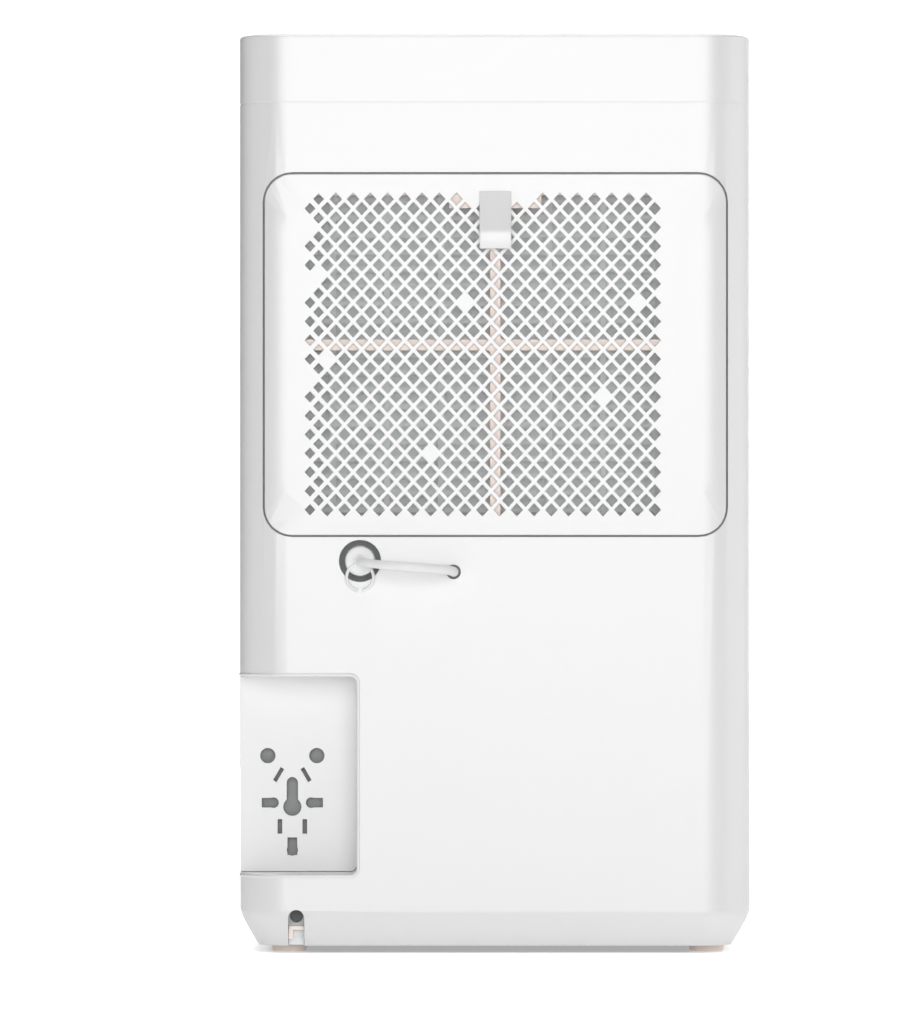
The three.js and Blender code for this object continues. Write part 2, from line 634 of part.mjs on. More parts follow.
function controlFascia() {
  const { halfWidth, front, back } = FASCIA;
  const outline = roundedRect(-halfWidth + 0.4, halfWidth - 0.4, front + 0.4, back - 0.4, 3.6);
  const plate = plateZ(outline, 460.8, TOP - 0.3);
  const flange = box([-halfWidth - 4, halfWidth + 4], [front - 2, back + 4], [460.8, TOP - WALL - 0.3]);
  const holes = BUTTONS.map(([, x]) => rod('z', 6.4, 455, 470, [x, BUTTON_Y], 24));
  return cut(plate.add(flange), ...holes, box([-22, 22], [-108, -90], [455, 470]));
}

function displayLens() {
  return box([-21.6, 21.6], [-107.6, -90.4], [462.5, TOP - 0.3]);
}

function pushButton(x) {
  const cap = rod('z', 6, 459, TOP + 0.4, [x, BUTTON_Y], 20);
  const collar = rod('z', 7.4, 458, 460.3, [x, BUTTON_Y], 20);
  const stem = rod('z', 2, 456.2, 459, [x, BUTTON_Y], 12);
  return union(cap, collar, stem);
}

function controlBoard() {
  const plate = box([-62, 62], [-112, -82], [452.5, 454.1]);
  const switches = BUTTONS.map(([, x]) => box([x - 3, x + 3], [BUTTON_Y - 3, BUTTON_Y + 3], [454, 455.2]));
  const digits = box([-18, 18], [-105, -93], [454, 462]);
  return union(plate, digits, ...switches);
}

// ---- electrics ----

function powerBoard() {
  const plate = box([118, 119.6], [-25, 40], [230, 330]);
  const transformer = box([98, 118.5], [-18, 8], [240, 270]);
  const relay = box([104, 118.5], [15, 33], [245, 270]);
  const heatsink = box([106, 118.5], [-15, 30], [290, 315]);
  return union(plate, transformer, relay, heatsink);
}

function louverMotor() {
  const can = rod('x', 12, 97, 112, [45, 446], 24);
  return can.add(rod('x', 3, 92.5, 98, [45, 446], 12));
}

// ---- water tank ----

function tankBody() {
  const { halfWidth, front, back, bottom, top, wall } = TANK;
  const outer = plateZ(roundedRect(-halfWidth, halfWidth, front, back, 8), bottom, top);
  return outer.subtract(plateZ(roundedRect(
    -halfWidth + wall, halfWidth - wall, front + wall, back - wall, 6), bottom + wall, top + 5));
}

function tankFront() {
  const { halfWidth, bottom, top, thickness } = DOOR;
  const skin = casingStack(0, [[10, 0], [220, 0]]).subtract(casingStack(thickness, [[9, 0], [221, 0]]));
  const front = skin.intersect(plateY(roundedRect(-halfWidth, halfWidth, bottom, top, 4), -140, -100));
  const grip = plateY(roundedRect(-34, 34, 164, 220, 12), -140, -100);
  const ribs = [-1, 1].map((side) => box([side * 30 - 1.5, side * 30 + 1.5], [-124.5, -118.3], [40, 130]));
  return cut(union(front, ...ribs), grip, box([-7, 7], [-140, -100], [44, 128]));
}

function tankLid() {
  const { halfWidth, front, back, top } = TANK;
  const plate = plateZ(roundedRect(-halfWidth, halfWidth, front, back, 8), top + 0.3, top + 2.8);
  const ears = [-1, 1].map((side) => {
    const [x0, x1] = side < 0 ? [-83, -78] : [78, 83];
    return box([x0, x1], [BAIL.pivotY - 5, BAIL.pivotY + 5], [top + 1, 150]);
  });
  const hangers = [-1, 1].map((side) => {
    const x = FLOAT.x + side * 4.4;
    return box([x - 2, x + 2], [FLOAT.pivotY - 4, FLOAT.pivotY + 4], [FLOAT.pivotZ - 4, top + 1]);
  });
  return cut(
    union(plate, ...ears, ...hangers),
    rod('x', 2.8, -90, 90, [BAIL.pivotY, BAIL.pivotZ], 16),
    rod('x', 2.3, FLOAT.x - 10, FLOAT.x + 10, [FLOAT.pivotY, FLOAT.pivotZ], 16),
    rod('z', 9, top - 5, top + 10, [DRIP.x, DRIP.y], 20),
  );
}

function tankHandle() {
  const bar = box([-89, 89], [-BAIL.reach - 2.5, -BAIL.reach + 2.5], [-2.5, 2.5]);
  const arms = [-1, 1].map((side) => {
    const [x0, x1] = side < 0 ? [-89, -83.5] : [83.5, 89];
    const arm = box([x0, x1], [-BAIL.reach, 0], [-2.5, 2.5]);
    const eye = rod('x', 2.5, x0, x1, [0, 0], 16);
    const pin = side < 0 ? rod('x', 2.4, -84, -78.5, [0, 0], 16) : rod('x', 2.4, 78.5, 84, [0, 0], 16);
    return union(arm, eye, pin);
  });
  return union(bar, ...arms).translate([0, BAIL.pivotY, BAIL.pivotZ]);
}

function tankFloat() {
  const { x, pivotY, pivotZ } = FLOAT;
  const arm = box([x - 2, x + 2], [pivotY - 2, -40], [pivotZ - 2.5, pivotZ + 2.5]);
  const pin = rod('x', 1.9, x - 6, x + 6, [pivotY, pivotZ], 12);
  const bob = box([x - 12, x + 12], [-44, -20], [106, 124.5]);
  return union(arm, pin, bob);
}

function tankBay() {
  const { halfWidth, back, bottom, top, front, wall } = BAY;
  const outer = box([-halfWidth - wall, halfWidth + wall], [front, back + wall], [bottom - wall, top + wall]);
  const inner = box([-halfWidth, halfWidth], [front - 5, back], [bottom, top]);
  return cut(outer, inner, rod('z', 5, top - 5, top + 5, [DRIP.x, DRIP.y], 20));
}

// ---- assembly ----

addPart('rear_housing', rearHousing(), WHITE);
addPart('front_housing', frontHousing(), WHITE);
addPart('top_cover', topCover(), WHITE);
addPart('base_pan', basePan(), DARK_PLASTIC);

const FEET = [['foot_rear_right', 105, 90], ['foot_rear_left', -108, 90], ['foot_front_right', 83, -95],
  ['foot_front_left', -100, -92]];
for (const [name, x, y] of FEET) addPart(name, rod('z', 8.4, 0, 4.2, [x, y], 28, 9.2), RUBBER);

addPart('filter_cover', filterCover(), WHITE);
addPart('filter_frame', filterFrame(), WARM_WHITE);
addPart('filter_mesh', box([-105, 105], [114, 114.6], [219, 388]), INNER_WHITE);
addPart('intake_grid', intakeGrid(), INNER_WHITE);

addPart('drain_spigot', drainSpigot(), GREY_PLASTIC);
addPart('drain_plug', drainPlug(), WHITE);
addPart('plug_tether', plugTether(), WHITE);
addPart('plug_holder', plugHolder(), WHITE);
addPart('cord_clip', cordClip(), WARM_WHITE);

addPart('evaporator', coilBlock(81, 104), FIN_METAL);
addPart('condenser', coilBlock(50, 76), FIN_METAL);
addPart('compressor', compressor(), BLACK_STEEL);
[30, 150, 270].forEach((angle, i) => addPart(`compressor_grommet_${i + 1}`, grommet(angle), BLACK_RUBBER));
addPart('suction_line', suctionLine(), COPPER);
addPart('discharge_line', dischargeLine(), COPPER);
addPart('capillary_tube', capillaryTube(), COPPER);
addPart('drip_tray', dripTray(), GREY_PLASTIC);
addPart('condensate_hose', condensateHose(), BLACK_RUBBER);

addPart('fan_scroll', fanScroll(), DARK_PLASTIC);
addPart('fan_impeller', fanImpeller(), GREY_PLASTIC);
addPart('fan_motor', fanMotor(), STEEL);
addPart('motor_bracket', motorBracket(), STEEL);
addPart('air_duct', airDuct(), DARK_PLASTIC);

addPart('outlet_grille', outletGrille(), GREY_PLASTIC);
addPart('outlet_flap', outletFlap(), WHITE);
addPart('louver_motor', louverMotor(), STEEL);
addPart('carry_handle', carryHandle(), WHITE);
addPart('control_fascia', controlFascia(), DARK_PLASTIC);
addPart('display_lens', displayLens(), SMOKED);
for (const [name, x] of BUTTONS) addPart(name, pushButton(x), GREY_PLASTIC);
addPart('control_board', controlBoard(), BOARD);
addPart('power_board', powerBoard(), BOARD);
addPart('run_capacitor', rod('z', 17, 110, 180, [95, 20], 28), STEEL);
addPart('humidity_sensor', box([109, 113], [84, 100], [330, 350]), INNER_WHITE);

addPart('tank_bay', tankBay(), DARK_PLASTIC);
addPart('water_tank', tankBody(), SMOKED);
addPart('tank_front', tankFront(), WHITE);
addPart('level_window', box([-6.6, 6.6], [-126.4, -123.8], [44.4, 127.6]), SMOKED);
addPart('tank_lid', tankLid(), GREY_PLASTIC);
addPart('tank_handle', tankHandle(), GREY_PLASTIC);
addPart('tank_float', tankFloat(), WARM_WHITE);
addPart('float_sensor', box([-70, -50], [-8.7, -1], [110, 126]), DARK_PLASTIC);

export default dehumidifier;
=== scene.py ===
"""Looks of a compact dehumidifier: its lattice filter cover, drain plug, casing finish and studio.

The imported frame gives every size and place; this script adds the fine surface on top of it.
"""

import json
import math

import bmesh
import bpy
from bpy.props import FloatProperty, FloatVectorProperty, IntProperty, PointerProperty
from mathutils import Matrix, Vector
from mathutils.geometry import delaunay_2d_cdt


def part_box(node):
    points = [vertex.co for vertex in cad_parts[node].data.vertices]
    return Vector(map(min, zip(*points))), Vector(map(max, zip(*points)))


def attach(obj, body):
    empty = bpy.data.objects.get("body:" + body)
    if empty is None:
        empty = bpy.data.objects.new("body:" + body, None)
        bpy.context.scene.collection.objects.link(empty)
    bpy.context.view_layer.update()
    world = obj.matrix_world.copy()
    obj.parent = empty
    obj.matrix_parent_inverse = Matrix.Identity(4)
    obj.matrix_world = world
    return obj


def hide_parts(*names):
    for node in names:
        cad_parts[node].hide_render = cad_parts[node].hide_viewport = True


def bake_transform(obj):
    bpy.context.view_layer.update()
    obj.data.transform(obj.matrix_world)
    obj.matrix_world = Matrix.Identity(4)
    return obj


bl_info = {
    "name": "Dehumidifier looks",
    "version": (1, 0, 0),
    "blender": (4, 5, 0),
    "location": "3D View > Sidebar > Dehumidifier",
    "description": "Builds the visible surface of a compact dehumidifier around its packed frame",
    "category": "Object",
}

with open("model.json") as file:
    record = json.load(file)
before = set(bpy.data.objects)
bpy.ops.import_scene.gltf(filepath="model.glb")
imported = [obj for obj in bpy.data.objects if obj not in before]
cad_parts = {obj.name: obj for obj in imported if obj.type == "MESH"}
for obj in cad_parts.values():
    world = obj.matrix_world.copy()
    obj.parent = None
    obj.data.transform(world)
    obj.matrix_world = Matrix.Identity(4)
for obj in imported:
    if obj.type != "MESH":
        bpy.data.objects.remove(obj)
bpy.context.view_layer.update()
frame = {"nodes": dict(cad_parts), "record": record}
MM = 0.001

# Casing datums, in millimetres like every size below, read off the frame's nodes.
CASING_LOW, CASING_HIGH = (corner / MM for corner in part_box("rear_housing"))
REAR_Y = CASING_HIGH.y
HALF_WIDTH = CASING_HIGH.x
CASING_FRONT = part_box("front_housing")[0].y / MM
SEAM_Z = CASING_HIGH.z + 0.3
CORNER_RADIUS = 25.0


# ---- settings a user would change ----

class CasingSettings(bpy.types.PropertyGroup):
    """Colours and finish of the white casing."""
    white: FloatVectorProperty(
        name="Casing white", description="Moulded outer casing", subtype="COLOR", size=3,
        default=(0.70, 0.70, 0.70), min=0, max=1)
    roughness: FloatProperty(
        name="Roughness", description="Roughness of the casing", subtype="FACTOR", default=0.46,
        min=0.05, max=1)


class LatticeSettings(bpy.types.PropertyGroup):
    """The diamond lattice of the filter cover, in millimetres."""
    pitch_x: FloatProperty(name="Half pitch", description="Across step to the next column", default=4.3686)
    pitch_z: FloatProperty(name="Row pitch", description="Step up to the next row", default=4.7716)
    columns: IntProperty(name="Columns", description="Number of half-pitch columns", default=41, min=3)
    rows: IntProperty(name="Rows", description="Number of rows", default=34, min=3)
    width: FloatProperty(name="Hole width", description="Diamond width", default=6.2)
    height: FloatProperty(name="Hole height", description="Diamond height", default=6.7)
    chamfer: FloatProperty(name="Chamfer", description="Break on each hole's outer edge", default=0.2)
    thickness: FloatProperty(name="Thickness", description="Wall of the cover", default=2.1)


class TetherSettings(bpy.types.PropertyGroup):
    """The strap between the drain plug and the casing, in millimetres."""
    bow: FloatProperty(name="Bow", description="How far the strap stands out", default=16.0)
    diameter: FloatProperty(name="Diameter", description="Strap diameter", default=4.6)


class StageSettings(bpy.types.PropertyGroup):
    """Camera and lights."""
    distance: FloatProperty(
        name="Camera distance", description="From the rear face", default=4.0, unit="LENGTH")
    height: FloatProperty(name="Camera height", description="Above the floor", default=0.222, unit="LENGTH")
    offset: FloatProperty(name="Camera offset", description="Sideways", default=0.023, unit="LENGTH")
    view_height: FloatProperty(
        name="View height", description="Height of the view at the rear face", default=0.523, unit="LENGTH")
    key: FloatProperty(name="Key power", description="Large panel round the camera, in watts", default=53.5)
    side: FloatProperty(name="Side power", description="Bright panel at the side, in watts", default=9.0)
    fill: FloatProperty(name="Fill power", description="Weak panel at the other side, in watts", default=3.0)
    top: FloatProperty(name="Top power", description="Panel above, in watts", default=26.0)
    ambient: FloatProperty(name="Ambient", description="Strength of the surrounding light", default=0.10)


def settings():
    """The scene, which holds the four groups of settings."""
    return bpy.context.scene


# ---- meshes ----

# How far wide flat faces set the shading of the small faces beside them, on pieces and on nodes.
PIECE_FACE_WEIGHT = 90
NODE_FACE_WEIGHT = 80


def new_piece(name, bm, body, slot, replaces=(), smooth_angle=35.0, flat_faces=True, finish=None):
    """Turns a bmesh in millimetres into a shown piece, which rides on the body if one is given.

    It gets its slot's own finish, or the one that is named."""
    bmesh.ops.scale(bm, vec=(MM, MM, MM), verts=bm.verts)
    bmesh.ops.recalc_face_normals(bm, faces=bm.faces)
    mesh = bpy.data.meshes.new(name)
    bm.to_mesh(mesh)
    bm.free()
    piece = bpy.data.objects.new(name, mesh)
    bpy.context.scene.collection.objects.link(piece)
    mesh.shade_smooth()
    mesh.set_sharp_from_angle(angle=math.radians(smooth_angle))
    mesh.materials.append(material(finish or slot))
    if flat_faces:
        weighted = piece.modifiers.new("Normals", "WEIGHTED_NORMAL")
        weighted.keep_sharp = True
        weighted.weight = PIECE_FACE_WEIGHT
    if body:
        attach(piece, body)
    if replaces:
        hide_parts(*replaces)
    return piece


def ring_between(bm, lower, upper):
    """Joins two closed rings of vertices with a band of four-sided faces."""
    count = len(lower)
    for i in range(count):
        j = (i + 1) % count
        bm.faces.new((lower[i], lower[j], upper[j], upper[i]))


def closed_band(bm, rings):
    """Joins each ring of vertices to the next, and the last to the first."""
    for ring, following in zip(rings, rings[1:] + rings[:1]):
        ring_between(bm, ring, following)


def add_rings(bm, rings):
    """Skins a list of closed rings, each a list of points, and caps both ends."""
    made = [[bm.verts.new(point) for point in ring] for ring in rings]
    for lower, upper in zip(made, made[1:]):
        ring_between(bm, lower, upper)
    bm.faces.new(list(reversed(made[0])))
    bm.faces.new(made[-1])
    return made


def lathe_y(bm, profile, x, z, sides=48):
    """Turns a profile of (radius, y) about the line along Y at (x, z)."""
    rings = []
    for radius, y in profile:
        ring = []
        for i in range(sides):
            angle = 2 * math.pi * i / sides
            ring.append(Vector((x + radius * math.cos(angle), y, z + radius * math.sin(angle))))
        rings.append(ring)
    return add_rings(bm, rings)


def round_edges(bm, edges, radius, segments=2):
    """Gives the edges a small radius."""
    bmesh.ops.bevel(
        bm, geom=list(edges), offset=radius, segments=segments, profile=0.5, affect="EDGES",
        clamp_overlap=True)


def rounded_box(bm, low, high, radius=0.4, segments=2):
    """A box with small rounded edges."""
    verts = bmesh.ops.create_cube(bm, size=1.0)["verts"]
    low, high = Vector(low), Vector(high)
    centre = (low + high) / 2
    size = high - low
    for vert in verts:
        vert.co = Vector(vert.co[k] * size[k] + centre[k] for k in range(3))
    edges = {edge for vert in verts for edge in vert.link_edges}
    round_edges(bm, edges, radius, segments)


def tube_rings(points, radii, sides=20):
    """Closed rings square to a path, turned as little as possible from one to the next."""
    rings = []
    side = None
    for i, point in enumerate(points):
        before = points[max(i - 1, 0)]
        after = points[min(i + 1, len(points) - 1)]
        along = (after - before).normalized()
        if side is None:
            side = along.orthogonal().normalized()
        side = (side - along * side.dot(along)).normalized()
        other = along.cross(side)
        ring = []
        for k in range(sides):
            angle = 2 * math.pi * k / sides
            ring.append(point + radii[i] * (side * math.cos(angle) + other * math.sin(angle)))
        rings.append(ring)
    return rings


def rounded_outline(x0, x1, z0, z1, radius, steps=10):
    """A rounded rectangle as a list of 2-D points, counter-clockwise."""
    corners = [
        (x1 - radius, z1 - radius, 0), (x0 + radius, z1 - radius, 90),
        (x0 + radius, z0 + radius, 180), (x1 - radius, z0 + radius, 270)]
    points = []
    for cx, cz, start in corners:
        for step in range(steps + 1):
            angle = math.radians(start + 90 * step / steps)
            points.append(Vector((cx + radius * math.cos(angle), cz + radius * math.sin(angle))))
    return points


def cut_sheet(points, loops):
    """Divides the area inside the first loop, less the other loops, into faces.

    Returns the flat points, the faces, and the new number of each point given."""
    edges = [(loop[i], loop[(i + 1) % len(loop)]) for loop in loops for i in range(len(loop))]
    verts, _, faces, origin, _, _ = delaunay_2d_cdt(points, edges, [], 0, 1e-5)
    place = {old: new for new, olds in enumerate(origin) for old in olds}
    hole_of = {place[i]: number for number, loop in enumerate(loops[1:]) for i in loop}
    kept = []
    for face in faces:
        owners = {hole_of.get(i, -1) for i in face}
        if len(owners) > 1 or -1 in owners:
            kept.append(face)
    return verts, kept, place


def pierced_plate(bm, outline, holes, y0, y1, edge=0.3):
    """A plate across Y from y0 to y1, with holes, chamfered at y1. Outlines are (x, z) points."""
    points = []
    loops = []
    for loop in [outline, *holes]:
        loops.append(list(range(len(points), len(points) + len(loop))))
        points += [Vector(point) for point in loop]
    verts, faces, place = cut_sheet(points, loops)
    near = [bm.verts.new((v.x, y1, v.y)) for v in verts]
    far = [bm.verts.new((v.x, y0, v.y)) for v in verts]
    for face in faces:
        bm.faces.new([near[i] for i in face])
        bm.faces.new([far[i] for i in reversed(face)])
    for number, loop in enumerate(loops):
        middle = sum((points[i] for i in loop), Vector((0, 0))) / len(loop)
        grow = 1 if number == 0 else -1
        throat = []
        for i in loop:
            away = points[i] - middle
            away = Vector((edge * (1 if away.x > 0 else -1), edge * (1 if away.y > 0 else -1))) * grow
            throat.append(bm.verts.new((points[i].x + away.x, y1 - edge, points[i].y + away.y)))
        ring_between(bm, [near[place[i]] for i in loop], throat)
        ring_between(bm, throat, [far[place[i]] for i in loop])


def casing_outline(inset, steps=10):
    """The casing's plan as (x, y) points: rear corners, front corners and the bowed front."""
    front_radius, bow_radius, bow_depth = 35.0, 800.0, -CASING_FRONT
    bow_centre = bow_radius - bow_depth
    front_x = HALF_WIDTH - front_radius
    front_y = bow_centre - math.sqrt((bow_radius - front_radius) ** 2 - front_x ** 2)
    bow = math.degrees(math.asin(front_x / (bow_radius - front_radius)))
    rear_x, rear_y = HALF_WIDTH - CORNER_RADIUS, REAR_Y - CORNER_RADIUS
    arcs = [
        (rear_x, rear_y, CORNER_RADIUS, 0, 90), (-rear_x, rear_y, CORNER_RADIUS, 90, 180),
        (-front_x, front_y, front_radius, 180, 270 - bow), (0, bow_centre, bow_radius, 270 - bow, 270 + bow),
        (front_x, front_y, front_radius, 270 + bow, 360)]
    points = []
    for x, y, radius, start, end in arcs:
        for step in range(steps + 1):
            angle = math.radians(start + (end - start) * step / steps)
            reach = radius - inset
            points.append(Vector((x + reach * math.cos(angle), y + reach * math.sin(angle))))
    return [point for i, point in enumerate(points) if (point - points[i - 1]).length > 1e-4]


def rear_surface(x):
    """Y of the casing's rear face at x: flat, then round the corner."""
    over = max(0.0, abs(x) - (HALF_WIDTH - CORNER_RADIUS))
    return REAR_Y - CORNER_RADIUS + math.sqrt(CORNER_RADIUS ** 2 - over ** 2)


# ---- shader node helpers and shared effects ----

def link(tree, source, target):
    tree.links.new(source, target)


def wire(tree, *rows):
    """Links nodes, one row for each link: the source node, its output, the target node, its input."""
    for source, output, target, socket in rows:
        link(tree, source.outputs[output], target.inputs[socket])


def node(tree, kind, inputs=(), **values):
    """A new node with its own properties set, and constants on some of its inputs."""
    made = tree.nodes.new(kind)
    for name, value in values.items():
        setattr(made, name, value)
    for socket, value in dict(inputs).items():
        made.inputs[socket].default_value = value
    return made


def group_shell(name, inputs, outputs):
    """An empty shader group with the sockets asked for."""
    tree = bpy.data.node_groups.new(name, "ShaderNodeTree")
    for socket_name, kind, default in inputs:
        socket = tree.interface.new_socket(socket_name, in_out="INPUT", socket_type=kind)
        socket.default_value = default
    for socket_name, kind in outputs:
        tree.interface.new_socket(socket_name, in_out="OUTPUT", socket_type=kind)
    return tree, node(tree, "NodeGroupInput"), node(tree, "NodeGroupOutput")


def build_moulded_grain():
    """Fine spark-eroded texture of moulded plastic, and a slow drift in tone."""
    tree, inp, out = group_shell(
        "Moulded grain",
        [("Scale", "NodeSocketFloat", 900.0), ("Drift Scale", "NodeSocketFloat", 9.0)],
        [("Height", "NodeSocketFloat"), ("Drift", "NodeSocketFloat")])
    coords = node(tree, "ShaderNodeTexCoord")
    fine = node(tree, "ShaderNodeTexNoise", {"Detail": 3.0, "Roughness": 0.65})
    slow = node(tree, "ShaderNodeTexNoise", {"Detail": 2.0})
    wire(
        tree, (coords, "Object", fine, "Vector"), (coords, "Object", slow, "Vector"),
        (inp, "Scale", fine, "Scale"), (inp, "Drift Scale", slow, "Scale"), (fine, "Fac", out, "Height"),
        (slow, "Fac", out, "Drift"))
    return tree


def build_edge_wear():
    """A mask of slightly polished convex edges."""
    tree, inp, out = group_shell(
        "Edge wear", [("Amount", "NodeSocketFloat", 0.3), ("Breakup", "NodeSocketFloat", 60.0)],
        [("Mask", "NodeSocketFloat")])
    geometry = node(tree, "ShaderNodeNewGeometry")
    ramp = node(tree, "ShaderNodeMapRange", {"From Min": 0.52, "From Max": 0.62})
    coords = node(tree, "ShaderNodeTexCoord")
    noise = node(tree, "ShaderNodeTexNoise")
    broken = node(tree, "ShaderNodeMath", operation="MULTIPLY")
    scaled = node(tree, "ShaderNodeMath", operation="MULTIPLY")
    wire(
        tree, (geometry, "Pointiness", ramp, "Value"), (coords, "Object", noise, "Vector"),
        (inp, "Breakup", noise, "Scale"), (ramp, "Result", broken, 0), (noise, "Fac", broken, 1),
        (broken, "Value", scaled, 0), (inp, "Amount", scaled, 1), (scaled, "Value", out, "Mask"))
    return tree


def build_stripes():
    """Thin ridges across one direction, for fins, brushed lines and threads."""
    tree, inp, out = group_shell(
        "Stripes",
        [("Vector", "NodeSocketVector", (0, 0, 0)), ("Pitch", "NodeSocketFloat", 0.0015),
         ("Share", "NodeSocketFloat", 0.5)],
        [("Mask", "NodeSocketFloat"), ("Height", "NodeSocketFloat")])
    split = node(tree, "ShaderNodeSeparateXYZ")
    divided = node(tree, "ShaderNodeMath", operation="DIVIDE")
    wave = node(tree, "ShaderNodeMath", {1: 0.5}, operation="PINGPONG")
    doubled = node(tree, "ShaderNodeMath", {1: 2.0}, operation="MULTIPLY")
    mask = node(tree, "ShaderNodeMath", operation="LESS_THAN")
    wire(
        tree, (inp, "Vector", split, 0), (split, "X", divided, 0), (inp, "Pitch", divided, 1),
        (divided, "Value", wave, 0), (wave, "Value", doubled, 0), (doubled, "Value", mask, 0),
        (inp, "Share", mask, 1), (mask, "Value", out, "Mask"), (doubled, "Value", out, "Height"))
    return tree


def shared_effect(name):
    """The node group of that name, built the first time it is asked for."""
    builders = {
        "Moulded grain": build_moulded_grain, "Edge wear": build_edge_wear, "Stripes": build_stripes}
    return bpy.data.node_groups.get(name) or builders[name]()


def use_effect(tree, name, **values):
    """Places a shared effect in a material, with that material's own values."""
    placed = node(tree, "ShaderNodeGroup")
    placed.node_tree = shared_effect(name)
    for socket, value in values.items():
        placed.inputs[socket.replace("_", " ")].default_value = value
    return placed


def base_material(name, roughness, metallic=0.0, **sockets):
    """A material with its constants set directly on the shader."""
    material = bpy.data.materials.new(name)
    material.use_nodes = True
    shader = material.node_tree.nodes["Principled BSDF"]
    shader.inputs["Roughness"].default_value = roughness
    shader.inputs["Metallic"].default_value = metallic
    for socket, value in sockets.items():
        shader.inputs[socket.replace("_", " ")].default_value = value
    return material, material.node_tree, shader


def tint(colour, factor):
    """The colour made lighter or darker, with an alpha of 1."""
    return tuple(channel * factor for channel in colour[:3]) + (1.0,)


def mix_colour(tree, factor, low, high):
    """A colour between two constants, or between linked sockets."""
    mix = node(tree, "ShaderNodeMix", data_type="RGBA")
    link(tree, factor, mix.inputs["Factor"])
    for socket, value in (("A", low), ("B", high)):
        target = next(i for i in mix.inputs if i.name == socket and i.type == "RGBA")
        if isinstance(value, bpy.types.NodeSocket):
            link(tree, value, target)
        else:
            target.default_value = value
    return next(o for o in mix.outputs if o.type == "RGBA")


def add_bump(tree, shader, height, strength, distance):
    """Feeds a height into the shader's normal; distance is in metres."""
    bump = node(tree, "ShaderNodeBump", {"Strength": strength, "Distance": distance})
    link(tree, height, bump.inputs["Height"])
    link(tree, bump.outputs["Normal"], shader.inputs["Normal"])


def spread_roughness(tree, shader, value, low, high):
    """Lets a mask or noise move the roughness between two values."""
    ramp = node(tree, "ShaderNodeMapRange", {"To Min": low, "To Max": high})
    link(tree, value, ramp.inputs["Value"])
    link(tree, ramp.outputs["Result"], shader.inputs["Roughness"])


def moulded(name, colour, roughness, grain=900.0, bump=0.12, drift=0.02, wear=0.0, **sockets):
    """Moulded plastic or rubber: erosion grain, slow tone drift and polished edges."""
    material, tree, shader = base_material(name, roughness, **sockets)
    effect = use_effect(tree, "Moulded grain", Scale=grain)
    colour_out = mix_colour(tree, effect.outputs["Drift"], tint(colour, 1 - drift), tint(colour, 1 + drift))
    if wear:
        worn = use_effect(tree, "Edge wear", Amount=wear)
        colour_out = mix_colour(tree, worn.outputs["Mask"], colour_out, tint(colour, 1.25))
    link(tree, colour_out, shader.inputs["Base Color"])
    spread_roughness(tree, shader, effect.outputs["Height"], roughness * 0.88, roughness * 1.12)
    add_bump(tree, shader, effect.outputs["Height"], bump, 0.00008)
    return material


def metal(name, colour, roughness, stretch=(4, 4, 400), tarnish=0.12):
    """Drawn or plated metal with fine lines along one direction."""
    material, tree, shader = base_material(name, roughness, 1.0)
    coords = node(tree, "ShaderNodeTexCoord")
    mapping = node(tree, "ShaderNodeMapping", {"Scale": stretch})
    lines = node(tree, "ShaderNodeTexNoise", {"Scale": 12.0, "Detail": 4.0})
    effect = use_effect(tree, "Moulded grain", Scale=260.0, Drift_Scale=30.0)
    wire(tree, (coords, "Object", mapping, "Vector"), (mapping, "Vector", lines, "Vector"))
    dull, bright = tint(colour, 1 - tarnish), tint(colour, 1 + tarnish / 2)
    colour_out = mix_colour(tree, effect.outputs["Drift"], dull, bright)
    link(tree, colour_out, shader.inputs["Base Color"])
    spread_roughness(tree, shader, lines.outputs["Fac"], roughness * 0.7, roughness * 1.35)
    add_bump(tree, shader, lines.outputs["Fac"], 0.15, 0.00006)
    return material


def fin_stack():
    """Rolled aluminium fins: bright edges with near-black stripes of painted shade for the gaps between them.
    """
    material, tree, shader = base_material("Fin stack", 0.38, 0.85)
    coords = node(tree, "ShaderNodeTexCoord")
    stripes = use_effect(tree, "Stripes", Pitch=0.0016, Share=0.55)
    effect = use_effect(tree, "Moulded grain", Scale=120.0, Drift_Scale=40.0)
    link(tree, coords.outputs["Object"], stripes.inputs["Vector"])
    bright = mix_colour(tree, effect.outputs["Drift"], (0.5, 0.52, 0.54, 1), (0.72, 0.73, 0.74, 1))
    # The near-black stripes are painted shade for the gaps between the fins.
    colour_out = mix_colour(tree, stripes.outputs["Mask"], (0.05, 0.05, 0.055, 1), bright)
    link(tree, colour_out, shader.inputs["Base Color"])
    spread_roughness(tree, shader, effect.outputs["Height"], 0.3, 0.5)
    add_bump(tree, shader, stripes.outputs["Height"], 0.7, 0.0008)
    return material


def woven_net():
    """Open woven net: threads both ways with clear air between."""
    material, tree, shader = base_material("Woven net", 0.7)
    coords = node(tree, "ShaderNodeTexCoord")
    turned = node(tree, "ShaderNodeVectorRotate", {"Angle": math.pi / 2}, rotation_type="Y_AXIS")
    warp = use_effect(tree, "Stripes", Pitch=0.0008, Share=0.10)
    weft = use_effect(tree, "Stripes", Pitch=0.0008, Share=0.10)
    either = node(tree, "ShaderNodeMath", operation="MAXIMUM")
    effect = use_effect(tree, "Moulded grain", Scale=500.0)
    wire(
        tree, (coords, "Object", warp, "Vector"), (coords, "Object", turned, "Vector"),
        (turned, "Vector", weft, "Vector"), (warp, "Mask", either, 0), (weft, "Mask", either, 1),
        (either, "Value", shader, "Alpha"))
    thread = mix_colour(tree, effect.outputs["Drift"], (0.80, 0.81, 0.81, 1), (0.88, 0.89, 0.89, 1))
    link(tree, thread, shader.inputs["Base Color"])
    add_bump(tree, shader, warp.outputs["Height"], 0.4, 0.0002)
    return material


